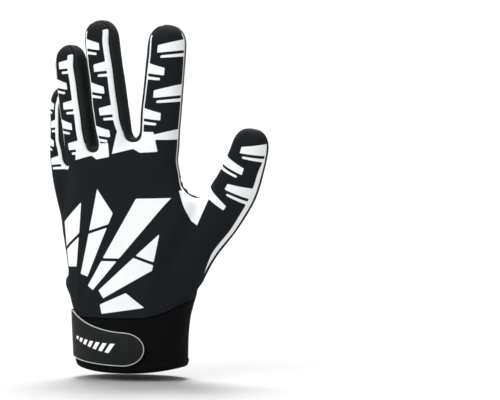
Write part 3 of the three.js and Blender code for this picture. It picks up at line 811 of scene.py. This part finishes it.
def inside(u, v, corners):
    """Signed distance to a polygon's outline, positive inside: the least distance to its sides,
    with the sign from how often a ray to the right crosses them."""
    corners = np.array(corners, float)
    best, crossings = np.full(u.shape, 1e9), np.zeros(u.shape, int)
    for (ax, ay), (bx, by) in zip(corners, np.roll(corners, -1, axis=0)):
        long_x, long_y = bx - ax, by - ay
        share = np.clip(((u - ax) * long_x + (v - ay) * long_y) / (long_x ** 2 + long_y ** 2), 0, 1)
        best = np.minimum(best, np.hypot(u - ax - share * long_x, v - ay - share * long_y))
        if ay != by:
            crossings += ((ay > v) != (by > v)) & (u < ax + (v - ay) / long_y * long_x)
    return np.where(crossings % 2 == 1, best, -best)


def ray(first, second, start, first_end, second_end):
    """A shard that widens away from the rays' centre, with its far end cut slanted."""
    turns = np.radians([first, first, second, second])
    reach = np.array([start, first_end, second_end, start])[:, None]
    return RAY_CENTRE + reach * np.stack([np.cos(turns), np.sin(turns)], -1)


def hand_print(x, z):
    """The print on the back of the hand: shards that spread from the wrist, each in two parts,
    with blocks and patches round them."""
    rays = []
    for first, second, *ends, gap in RAYS:
        c, s = cos_sin((first + second) / 2 + RAY_GAP_DEG)
        across_gap = (x - RAY_CENTRE[0]) * c + (z - RAY_CENTRE[1]) * s - gap * cos_sin(RAY_GAP_DEG)[0]
        rays.append(np.minimum(inside(x, z, ray(first, second, *ends)), np.abs(across_gap) - RAY_GAP / 2))
    return np.max(rays + [inside(x, z, shape) for shape in BLOCKS], axis=0)


def motifs(across, down, last, side, start, pitch):
    """A wedge with a bar under it, again and again from alternate edges of a digit."""
    shapes = []
    for k in range(6):
        turned, size = side * (-1) ** k, pitch / MOTIF_PITCH
        edge = turned * (DIGIT_HALF + 4)
        for wide, *levels in MOTIF:
            inner = turned * (DIGIT_HALF - wide)
            edge_from, edge_to, inner_from, inner_to = start + pitch * k + np.array(levels) * size
            shapes.append([(edge, edge_from), (inner, inner_from), (inner, inner_to), (edge, edge_to)])
    return np.minimum(np.max([inside(across, down, shape) for shape in shapes], axis=0), last - down)


thumb_at, thumb_s, thumb_width, _ = thumb_axis(601)


def thumb_place(x, z):
    """Where points are on the thumb: how far from its tip, and how far across its axis, scaled
    to the print's half width."""
    points = np.stack([x, z], -1)
    axis = thumb_at[:, [0, 2]]
    nearest = np.argmin(((points[:, None] - axis[None]) ** 2).sum(-1), axis=1)
    along = unit(np.gradient(axis, axis=0))[nearest]
    off = points - axis[nearest]
    beyond = (off * along).sum(1)
    across = off[:, 0] * along[:, 1] - off[:, 1] * along[:, 0]
    return thumb_s[-1] - thumb_s[nearest] - beyond, across * DIGIT_HALF / thumb_width[nearest]


def back_print(x, y, z, rim):
    """The white of the print as a signed distance in millimetres, positive in the white: the
    hand's shapes, the digits' motifs, a line along the seams of the fingers and their webs,
    which ends before each tip, and a broad strip down the thumb's outer side."""
    web = web_level(x)
    to_axis = np.array([np.hypot(*on_finger(f, x, y, z)) for f in FINGERS])
    own = np.argmin(to_axis, axis=0)
    ink = hand_print(x, z)
    wide, line_end = np.full(x.shape, WEB_LINE), np.full(x.shape, 9.0)
    for k, f in enumerate(FINGERS):
        across, down = on_finger(f, x, y, z)[0] * DIGIT_HALF / f["width"], f["top"] - z
        here = (own == k) & (x < FINGERS_TO)
        last = f["top"] - web_level(axis_x(f, 150)) + 2
        shapes = np.minimum(motifs(across, down, last, *MOTIF_ROWS[k]), rim - LINE_FROM)
        ink = np.where(here & (z > web - 6), np.maximum(ink, shapes), ink)
        right = ease((across + 4) / 8)
        edge = mix(*EDGE_LINES[k], right)
        wide = np.where(here, mix(WEB_LINE, edge, ease((z - web + 4) / 14)), wide)
        start = mix(*LINE_ENDS, right) + 0.35 * np.maximum(0, 9 - np.abs(across))
        line_end = np.where(here, down - start, line_end)
    down, across = np.full((2, len(x)), OFF_THUMB)
    past = x > THUMB_PAST
    down[past], across[past] = thumb_place(x[past], z[past])
    on_thumb = down < THUMB_LONG
    shapes = np.minimum(motifs(across, down, THUMB_LAST, *THUMB_ROW), rim - LINE_FROM)
    ink = np.where(on_thumb, np.maximum(ink, shapes), ink)
    at_crotch = ease(1 - np.hypot(x - 46, z - THUMB_CROTCH[1]) / CROTCH_LINE_REACH)
    wide = mix(wide, mix(THUMB_LINE, CROTCH_LINE, at_crotch), ease((x - 24) / 8))
    line_end = np.where(on_thumb, down - THUMB_LINE_END, line_end)
    line = np.min([rim - LINE_FROM, LINE_FROM + wide - rim, line_end], axis=0)
    faded = ease((z - STRIP_FROM) / STRIP_FADE) * ease((STRIP_TO - z) / STRIP_FADE)
    strip = np.min([rim - STRIP_OFF, STRIP_WIDE * faded - rim], axis=0)
    outer_thumb = (across > 2) & past & (z > STRIP_FROM)
    line = np.where(outer_thumb, strip, line)
    allowed = (z > web - WEB_LINE_DROP) & (x < THUMB_PAST) | (x > 28) & (z > 96) | outer_thumb
    return np.maximum(ink, np.where(allowed, line, -9))


def knit(wire, pitch, deep):
    """Fine knit, columns and rows of rounded stitches: its bumps' normal and its height."""
    x, y, z = [wire.node("ShaderNodeSeparateXYZ", {}, {0: wire.place()}, out=k) for k in range(3)]
    column = wire.math("SINE", (x + y * 0.6) * (2 * math.pi / pitch))
    row = wire.math("SINE", z * (2 * math.pi / (pitch * 0.8)) + column * 0.8)
    height = column * 0.5 + row * 0.5 + wire.noise(700.0, 2.0) * 1.2
    return height.bumped(deep), height


back_knit, wire, shader = new_material("printed_knit")
ink, cloudy = wire.attribute("ink"), wire.noise(55.0)
bumps, height = knit(wire, 0.00062, 0.35)
dark = (cloudy * 0.9 + height * 0.12).colour(tone(19, 23, 26), tone(25, 29, 32))
light = (cloudy * 0.8 + height * 0.15).colour(tone(214, 217, 217), tone(228, 231, 231))
white = (ink + height * 0.03).step(0.22)
feed(shader, {"Base Color": white.colour(dark, light), "Roughness": 0.82 - white * 0.14,
              "Specular IOR Level": 0.06, "Normal": bumps})

side_rim = rim_points(back_cloth, lambda x, y, z: ~at_cuff_top(x, y, z))
lower_rim = rim_points(back_cloth, at_cuff_top)
back_sewn = rolled_in(back_cloth, side_rim)
back_sewn = rolled_in(back_sewn, lower_rim, HEM_SWELL_WIDTH, -HEM_SWELL)
back_sewn = rolled_in(back_sewn, lower_rim, HEM_TUCK_WIDTH, HEM_TUCK)
back_places = back_cloth[0][:, :3]
back_ink = back_print(*back_places.T, reach_to(back_places, side_rim))
back_panel = piece("back_panel_cloth", *back_sewn, back_knit, "stretch_knit", {"ink": back_ink}, BACK_WALL)
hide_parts("back_panel")

# ---------------------------------------------------------------------------------------
# The palm panel: synthetic leather with a tacky coating, half glossy on the fingers and the
# thumb, cut in one piece from the finger tips to the hem. It carries a light grey print of
# slanted slats with thin outlines.
PALM_WALL = 1.3
FINGER_SLATS = [  # length, half width
    (14, 2.8), (20, 3.5), (23, 3.7), (19, 3.3), (16, 2.8), (13, 2.3), (11, 1.9), (9, 1.6)]
FINGER_SLATS_FROM, FINGER_SLATS_LEAN, FINGER_SLATS_DEG = (-1.0, 95.0), (0.24, 1.164), 21
THUMB_SLATS = [  # left end, level, direction in degrees, length, half width
    (19, 65, 66, 22, 1.1), (27.1, 66.7, 66, 27, 1.1), (35.2, 68.4, 66, 24, 1.1), (43.3, 70.1, 66, 14, 1.1)]
SLAT_GAP = 4.6
OUTLINE_OFF, OUTLINE_HALF = 1.1, 0.3  # a thin outline runs this far outside each slat

palm_leather, wire, shader = new_material("coated_palm")
ink, gloss = wire.attribute("ink"), wire.attribute("gloss")
grain, cloudy = wire.noise(900.0, 2.0), wire.noise(40.0)
dark = (cloudy * 0.8 + grain * 0.2).colour(tone(4, 7, 7), tone(8, 12, 12))
light = (cloudy * 0.7 + grain * 0.3).colour(tone(122, 128, 130), tone(150, 155, 156))
outlined = wire.math("MAXIMUM", ink, OUTLINE_HALF - wire.math("ABSOLUTE", ink + OUTLINE_OFF))
feed(shader, {"Base Color": outlined.step(0.2).colour(dark, light), "Normal": (grain + cloudy).bumped(0.25),
              "Roughness": 0.62 - gloss * 0.27 + cloudy * 0.08, "Specular IOR Level": 0.07})


def off_hem(x, y, z):
    """Whether points are clear of the hem binding."""
    return z > hem_top(x) + 0.4


def slat(left, level, degrees, long, half):
    """A bar along a direction, cut off slanted at both ends."""
    c, s = cos_sin(degrees)
    return [(left + along * c - off * s, level + along * s + off * c)
            for along, off in ((-half, -half), (long - half, -half), (long + half, half), (half, half))]


def palm_print(x, z):
    """The slats as a signed distance in millimetres, positive inside them. Those towards the
    index finger stand one above the other, a gap apart."""
    long, half = np.array(FINGER_SLATS).T
    up = np.concatenate([[0], np.cumsum(half[1:] + half[:-1] + SLAT_GAP)])
    left, level = [start + lean * up for start, lean in zip(FINGER_SLATS_FROM, FINGER_SLATS_LEAN)]
    rows = list(zip(left, level, FINGER_SLATS_DEG + 0 * up, long, half))
    return np.max([inside(x, z, slat(*row)) for row in rows + THUMB_SLATS], axis=0)


x, _, z = palm_cloth[0][:, :3].T
palm_gloss = np.maximum(ease((z - 118) / 30), ease((x - 38) / 14) * ease((z - 84) / 22))
palm_sewn = rolled_in(palm_cloth, rim_points(palm_cloth, off_hem))
palm_panel = piece("palm_panel_cloth", *palm_sewn, palm_leather, "grip_palm",
                   {"ink": palm_print(x, z), "gloss": palm_gloss}, PALM_WALL)
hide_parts("palm_panel")

# ---------------------------------------------------------------------------------------
# The piping: a thin light grey cord caught in the seam round the palm side of the four
# fingers, from the little finger's outer side over each tip and web to the index finger.
PIPING_HALF, PIPING_SUNK = 0.42, 0.3


def cloudy_material(name, cells, low, high, roughness, specular):
    """A plain material with clouds between two tones, with so many cells to the metre."""
    made, wire, shader = new_material(name)
    feed(shader, {"Base Color": wire.noise(cells).colour(tone(*low), tone(*high)),
                  "Roughness": roughness, "Specular IOR Level": specular})
    return made


def rim_loop(faces):
    """The points of the longest rim in order round it. Pointer doubling, where each edge learns
    in turn what lies 1, 2, 4, 8 edges ahead, finds each edge's loop and its place there."""
    edges = rim_edges(faces)
    edges = edges[np.argsort(edges[:, 0])]
    start, after = edges[:, 0], np.searchsorted(edges[:, 0], edges[:, 1])
    rounds = int(np.ceil(np.log2(len(start)))) + 1
    loop, jump = np.arange(len(start)), after
    for _ in range(rounds):
        loop, jump = np.minimum(loop, loop[jump]), jump[jump]
    last = after == loop
    steps, jump = np.where(last, 0, 1), np.where(last, np.arange(len(start)), after)
    for _ in range(rounds):
        steps, jump = steps + steps[jump], jump[jump]
    longest = loop == np.bincount(loop).argmax()
    return start[longest][np.argsort(-steps[longest])]


def along_rim(cloth, chosen, gap):
    """The stretch of a cloth's longest rim from the first to the last point that a test of x, y
    and z picks: evenly spaced places, a gap apart and averaged over five, and their normals."""
    rows = cloth[0][rim_loop(cloth[1])]
    picked = chosen(*rows[:, :3].T)
    rows, picked = np.roll(rows, -np.argmin(picked), 0), np.roll(picked, -np.argmin(picked))
    first, last = np.argmax(picked), len(picked) - np.argmax(picked[::-1])
    rows = rows[first:last]
    run = run_of(rows[:, :3])
    rows = read_off(np.linspace(0, run[-1], max(6, int(run[-1] / gap))), run, rows)
    padded = np.concatenate([rows[:1], rows[:1], rows, rows[-1:], rows[-1:]])
    rows = sum(padded[k:k + len(rows)] for k in range(5)) / 5
    return rows[:, :3], unit(rows[:, 3:])


def sides_of(path, normal):
    """Unit directions ahead, to the side and up along a path."""
    ahead = unit(np.gradient(path, axis=0))
    up = unit(normal - (normal * ahead).sum(1)[:, None] * ahead)
    return ahead, np.cross(ahead, up), up


def swept(path, normal, across, up, sides=10):
    """A round cord along a path: at each point an oval of half sizes across and up, its up
    along the given normal."""
    _, side, rise = sides_of(path, normal)
    across, up = [np.reshape(np.broadcast_to(v, len(path)), (-1, 1, 1)) for v in (across, up)]
    a = circle(sides)[None, :, None]
    return loft(path[:, None] + across * np.cos(a) * side[:, None] + up * np.sin(a) * rise[:, None])


piping_cloth = cloudy_material("piping_cloth", 400.0, (96, 101, 102), (120, 125, 126), 0.6, 0.2)
piping_path, piping_up = along_rim(palm_cloth, lambda x, y, z: (z > 126) & (x < 42), 0.7)
piping_cord = swept(piping_path - PIPING_SUNK * piping_up, piping_up, PIPING_HALF, PIPING_HALF, 8)
piping = piece("finger_piping", *piping_cord, piping_cloth, "pale_edging")

# ---------------------------------------------------------------------------------------
# The three fourchettes: plain dark knit strips between the fingers, one down the side of
# each finger, round the web and up the next.
FOURCHETTE_WALL = 1.2

fourchette_knit, wire, shader = new_material("fourchette_knit")
bumps, height = knit(wire, 0.0007, 0.5)
cloudy = wire.noise(60.0) * 0.8 + height * 0.2
feed(shader, {"Base Color": cloudy.colour(tone(24, 28, 28), tone(36, 40, 40)), "Roughness": 0.85,
              "Specular IOR Level": 0.08, "Normal": bumps})

for strip, name, long, area in zip(fourchettes, ("index_middle", "middle_ring", "ring_little"),
                                   (0.176, 0.172, 0.145), (0.0025, 0.0024, 0.0016)):
    made = piece("fourchette_cloth_" + name, *rolled_in(strip, rim_points(strip)), fourchette_knit,
                 "stretch_knit", wall=FOURCHETTE_WALL)
    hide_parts("fourchette_" + name)

# ---------------------------------------------------------------------------------------
# The cuff band: thick laminated neoprene across the back of the wrist. Its upper edge lies
# under the back panel and its lower edge in the hem binding.
CUFF_WALL = 2.0
LAP_WIDTH, LAP_DEPTH = 3.0, 1.0  # its upper edge sinks under the back panel

neoprene, wire, shader = new_material("neoprene")
bumps, height = knit(wire, 0.0009, 0.6)
cloudy = wire.noise(70.0) * 0.8 + height * 0.15
feed(shader, {"Base Color": cloudy.colour(tone(7, 9, 8), tone(13, 15, 14)), "Roughness": 0.9,
              "Specular IOR Level": 0.06, "Normal": bumps})

other_rim = rim_points(cuff_cloth, lambda x, y, z: ~at_cuff_top(x, y, z) & off_hem(x, y, z))
cuff_sewn = rolled_in(cuff_cloth, rim_points(cuff_cloth, at_cuff_top), LAP_WIDTH, LAP_DEPTH)
cuff_sewn = rolled_in(cuff_sewn, other_rim)
cuff_band = piece("cuff_band_cloth", *cuff_sewn, neoprene, "neoprene", wall=CUFF_WALL)
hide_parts("cuff_band")

# ---------------------------------------------------------------------------------------
# The hem binding: a folded strip of the cuff's cloth sewn round the wrist opening, from one
# side of the slit to the other.
BINDING = [  # the strip's section: how far out, level
    (-2.7, 5.6), (-2.9, 3.2), (-2.7, 1.3), (-2.0, 0.35), (-1.0, 0.05), (-0.1, 0.35), (0.45, 1.2),
    (0.65, 2.6), (0.62, 4.2), (0.4, 5.6), (0.0, 6.3), (-0.8, 6.5), (-2.0, 6.3)]
BINDING_FROM_DEG = 176.0
PUCKER, PUCKER_RATE = 0.05, 0.9  # how deep it puckers, and a wave's radians to the degree


def on_cuff(degrees, z, off):
    """Points on the cuff's outside at angles and levels, moved out by a distance, and the
    directions out, square to the section there. The hem's rise isn't in them."""
    degrees, z, off = np.broadcast_arrays(degrees, z, off)
    angle = np.radians(degrees)
    along = unit(hand_oval(angle + 0.02, z) - hand_oval(angle - 0.02, z))
    out = np.stack([along[..., 1], -along[..., 0], 0 * z], -1)
    return hand_oval(angle, z) + off[..., None] * out, out


angle = np.linspace(-BINDING_FROM_DEG, BINDING_FROM_DEG, 241)[:, None]
corner = np.linspace(0, len(BINDING), 40, endpoint=False)
off, level = read_off(corner, np.arange(len(BINDING) + 1), np.array([*BINDING, BINDING[0]])).T[:, None]
rings, _ = on_cuff(angle, level, off + PUCKER * np.sin(angle * PUCKER_RATE))
rings[..., 2] += hem_rise(level) * np.cos(np.radians(angle)) ** 2
binding = piece("hem_binding_strip", *loft(rings[:, ::-1]), neoprene, "neoprene")
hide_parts("hem_binding")

# ---------------------------------------------------------------------------------------
# The slit's binding: a rolled strip sewn over the slit's edges, up one side, round its end and
# down the other. It lies flat where the strap presses on it.
SLIT_CORD_ACROSS, SLIT_CORD_UP = 0.85, 1.05
SLIT_CORD_FROM, SLIT_CORD_BESIDE = 8.5, 0.5  # its lowest level, how far beside the slit it runs
PRESSED_BELOW = 42.0

straight_to = SLIT_TOP - SLIT_ROUNDS
rise, round_end = np.linspace(SLIT_CORD_FROM, straight_to, 60), np.linspace(0, np.pi, 13)[1:-1]
half = slit_half(SLIT_TOP) + SLIT_CORD_BESIDE
level = np.concatenate([rise, straight_to + half * np.sin(round_end), rise[::-1]])
beside = slit_half(rise) + SLIT_CORD_BESIDE
sideways = np.concatenate([beside, half * np.cos(round_end), -beside[::-1]])
depth = np.where(sideways < 0, hand_size(level, 3), hand_size(level, 4))
degrees = 180 - np.degrees(np.arcsin(np.sign(sideways) * np.abs(sideways / depth) ** (ROUNDNESS / 2)))
pressed = ease((PRESSED_BELOW - level) / 3)
slit_path, slit_up = on_cuff(degrees, level, 0.2 - 0.9 * pressed)
slit_cord = swept(slit_path, slit_up, SLIT_CORD_ACROSS, SLIT_CORD_UP - 0.5 * pressed)
slit_binding = piece("slit_binding_strip", *slit_cord, neoprene, "neoprene")

# ---------------------------------------------------------------------------------------
# The seams that show as rows of stitches in black thread: over the back panel's lower edge and
# along the hem binding's upper edge.
STITCH_HALF = 0.2
EDGE_STITCHES_UP, EDGE_PITCH, EDGE_LONG = 2.2, 2.9, 2.1
HEM_STITCHES_AT, HEM_PITCH, HEM_LONG = 5.1, 3.0, 2.2


def stitched(path, normal, pitch, long, half):
    """Stitches along a path: short capsules of six rings of six points that dip at both ends."""
    run = run_of(path)
    at = np.arange(pitch / 2, run[-1] - long / 2, pitch)
    middle, ahead, side, up = [read_off(at, run, v)[:, None, None] for v in (path, *sides_of(path, normal))]
    share = np.array([-1, -0.75, -0.3, 0.3, 0.75, 1])[None, :, None, None]
    thick = half * np.array([0.3, 0.85, 1, 1, 0.85, 0.3])[None, :, None, None]
    a = circle(6)[None, None, :, None]
    rings = (middle + share * long / 2 * ahead + thick * np.cos(a) * side
             + (thick * np.sin(a) - 1.4 * half * share ** 4) * up)
    ends = rings[:, [0, -1]].mean(2)
    points = np.concatenate([rings.reshape(len(at), -1, 3), ends], axis=1)
    faces = loft(rings[0])[1][None] + np.arange(len(at))[:, None, None] * points.shape[1]
    return points.reshape(-1, 3), faces.reshape(-1, 3)


black_thread = cloudy_material("black_thread", 500.0, (9, 11, 11), (15, 17, 17), 0.8, 0.08)


def stitch_line(x, y, z):
    """How far points are above the row of stitches along the back panel's lower edge."""
    return z - cuff_top(x) - EDGE_STITCHES_UP


over_line, _ = parted(back_sewn, stitch_line)
edge_path, edge_up = along_rim(over_line, lambda x, y, z: np.abs(stitch_line(x, y, z)) < 0.15, 0.8)
edge_row = stitched(edge_path + 0.12 * edge_up, edge_up, EDGE_PITCH, EDGE_LONG, STITCH_HALF)
edge_stitches = piece("panel_edge_stitches", *edge_row, black_thread, "stretch_knit")
degrees = np.linspace(-172, 172, 400)
hem_path, hem_up = on_cuff(degrees, HEM_STITCHES_AT, 0.42)
hem_path[:, 2] += hem_rise(HEM_STITCHES_AT) * np.cos(np.radians(degrees)) ** 2
hem_row = stitched(hem_path, hem_up, HEM_PITCH, HEM_LONG, STITCH_HALF)
hem_stitches = piece("hem_stitches", *hem_row, black_thread, "neoprene")

# ---------------------------------------------------------------------------------------
# The closure strap: a moulded rubbery strap, sewn at its wide root to the palm's side of the
# slit. It wraps over the slit onto the back of the cuff and ends round, with a pale edge.
STRAP_FROM_DEG, STRAP_TO_DEG, STRAP_LENGTH = 158.0, 293.0, 79.0
STRAP_END = 0.84  # the share of its length where its round end starts
STRAP_LOW, STRAP_HIGH = (5.2, 9.0), (28.0, 40.5)  # its edges' levels, at the end and at the root
STRAP_NARROWS_FROM, STRAP_NARROWS_OVER = 0.38, 0.48  # shares of its length
STRAP_GAP, STRAP_THICK, STRAP_CROWN, STRAP_INSET = 0.35, 2.0, 0.25, 0.7
MARK_FROM, MARK_TO, MARK_PITCH, MARK_LEAN = 33.6, 63.0, 4.2, 0.5
DASH_FROM, DASH_TO = 0.9, 3.3  # where a dash lies in its pitch
DASH_HALF, DASH_HALF_AT, DASH_GROWS = 1.2, 37.0, 0.085  # half its height there, and its growth
EDGE_BEAD, EDGE_BEAD_UP = 0.36, 0.62
ROOT_PITCH, ROOT_LONG = 2.6, 1.9


def strap_edges(share, inset):
    """The strap's lower and upper edge at a share of its length: wide at the sewn root, then
    even, and closed by a round end."""
    root = (1 - np.clip((share - STRAP_NARROWS_FROM) / STRAP_NARROWS_OVER, 0, 1)) ** 1.6
    low, high = mix(*STRAP_LOW, root), mix(*STRAP_HIGH, root)
    t = np.clip((share - STRAP_END) / (1 - STRAP_END - inset / STRAP_LENGTH), 0, 1)
    half = ((high - low) / 2 - inset) * np.sqrt(np.maximum(0, 1 - t ** 2))
    return (low + high) / 2 - half, (low + high) / 2 + half


def strap_angle(share):
    """The angle round the cuff at a share of the strap's length."""
    return mix(STRAP_FROM_DEG, STRAP_TO_DEG, share)


def strap_shares(end, straight, curved):
    """Shares of the strap's length up to an end, close together where it rounds off."""
    closing = np.sin(np.linspace(0, np.pi / 2, curved)[1:])
    return np.append(np.linspace(0, STRAP_END, straight), mix(STRAP_END, end, closing))


end = 1 - STRAP_INSET / STRAP_LENGTH
share = strap_shares(end, 90, 30)[:, None]
share[-1] -= 1e-5  # the last ring stays a little open
low, high = strap_edges(share, STRAP_INSET)
around = circle(56)[None, :]
cosine, sine = [np.sign(v) * np.abs(v) ** 0.3 for v in (np.cos(around), np.sin(around))]
thin = np.minimum(1, 0.35 + 0.65 * ease(share / 0.03))
thin = thin * (1 - np.clip((share - 0.96) / (end - 0.96), 0, 1) ** 9) ** 0.2
off_middle = (high - low) / 2 * cosine
level = (low + high) / 2 + off_middle
crown = STRAP_CROWN * (1 - (off_middle / 14) ** 2)
off = STRAP_GAP + STRAP_THICK / 2 + thin * (STRAP_THICK / 2 + crown * (np.sin(around) > 0)) * sine
strap_skin = loft(on_cuff(strap_angle(share), level, off)[0][:, ::-1])
strap_along = np.append((share * STRAP_LENGTH + 0 * level)[:, ::-1].ravel(), [0, STRAP_LENGTH])
strap_across = np.append(off_middle[:, ::-1].ravel(), [0, 0])

strap_rubber, wire, shader = new_material("strap_rubber")
along, across = wire.attribute("along"), wire.attribute("across")
grain, cloudy = wire.noise(1100.0, 2.0), wire.noise(60.0)
dark = (cloudy * 0.7 + grain * 0.3).colour(tone(17, 19, 19), tone(25, 27, 27))
shifted = along - across * MARK_LEAN
slanted = wire.math("FRACT", shifted / MARK_PITCH) * MARK_PITCH
dash = (slanted - DASH_FROM).least(DASH_TO - slanted)
run = (shifted - MARK_FROM).least(MARK_TO - shifted)
tall = DASH_HALF + (along - DASH_HALF_AT) * DASH_GROWS
mark = dash.least(run).least(tall - wire.math("ABSOLUTE", across))
feed(shader, {"Base Color": mark.step(0.2).colour(dark, tone(240, 243, 243)), "Normal": grain.bumped(0.35),
              "Roughness": cloudy * 0.1 + 0.55, "Specular IOR Level": 0.12})
strap = piece("closure_strap_body", *strap_skin, strap_rubber, "strap_rubber",
              {"along": strap_along, "across": strap_across})
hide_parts("closure_strap")

# The pale edge is a bead round the strap's outer rim.
pale_edging = cloudy_material("pale_edging", 300.0, (158, 162, 161), (180, 184, 183), 0.5, 0.3)
share = strap_shares(1 - EDGE_BEAD / STRAP_LENGTH, 120, 40)
low, high = strap_edges(share, EDGE_BEAD)
share, level = np.append(share, share[::-1][1:]), np.append(low, high[::-1][1:])
bead_line = on_cuff(strap_angle(share), level, STRAP_GAP + STRAP_THICK * 0.78)
bead = piece("strap_edge_bead", *swept(*bead_line, EDGE_BEAD, EDGE_BEAD_UP), pale_edging, "pale_edging")
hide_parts("strap_edging")

# The strap's root is sewn down with two rows of grey thread.
grey_thread = cloudy_material("grey_thread", 500.0, (90, 94, 94), (118, 122, 122), 0.6, 0.2)
for name, share in (("outer", 0.035), ("inner", 0.06)):
    level = np.linspace(*strap_edges(share, 2.4), 60)
    root_line = on_cuff(strap_angle(share), level, STRAP_GAP + STRAP_THICK + 0.3)
    root_row = stitched(*root_line, ROOT_PITCH, ROOT_LONG, STITCH_HALF)
    piece("strap_root_stitches_" + name, *root_row, grey_thread, "strap_rubber")
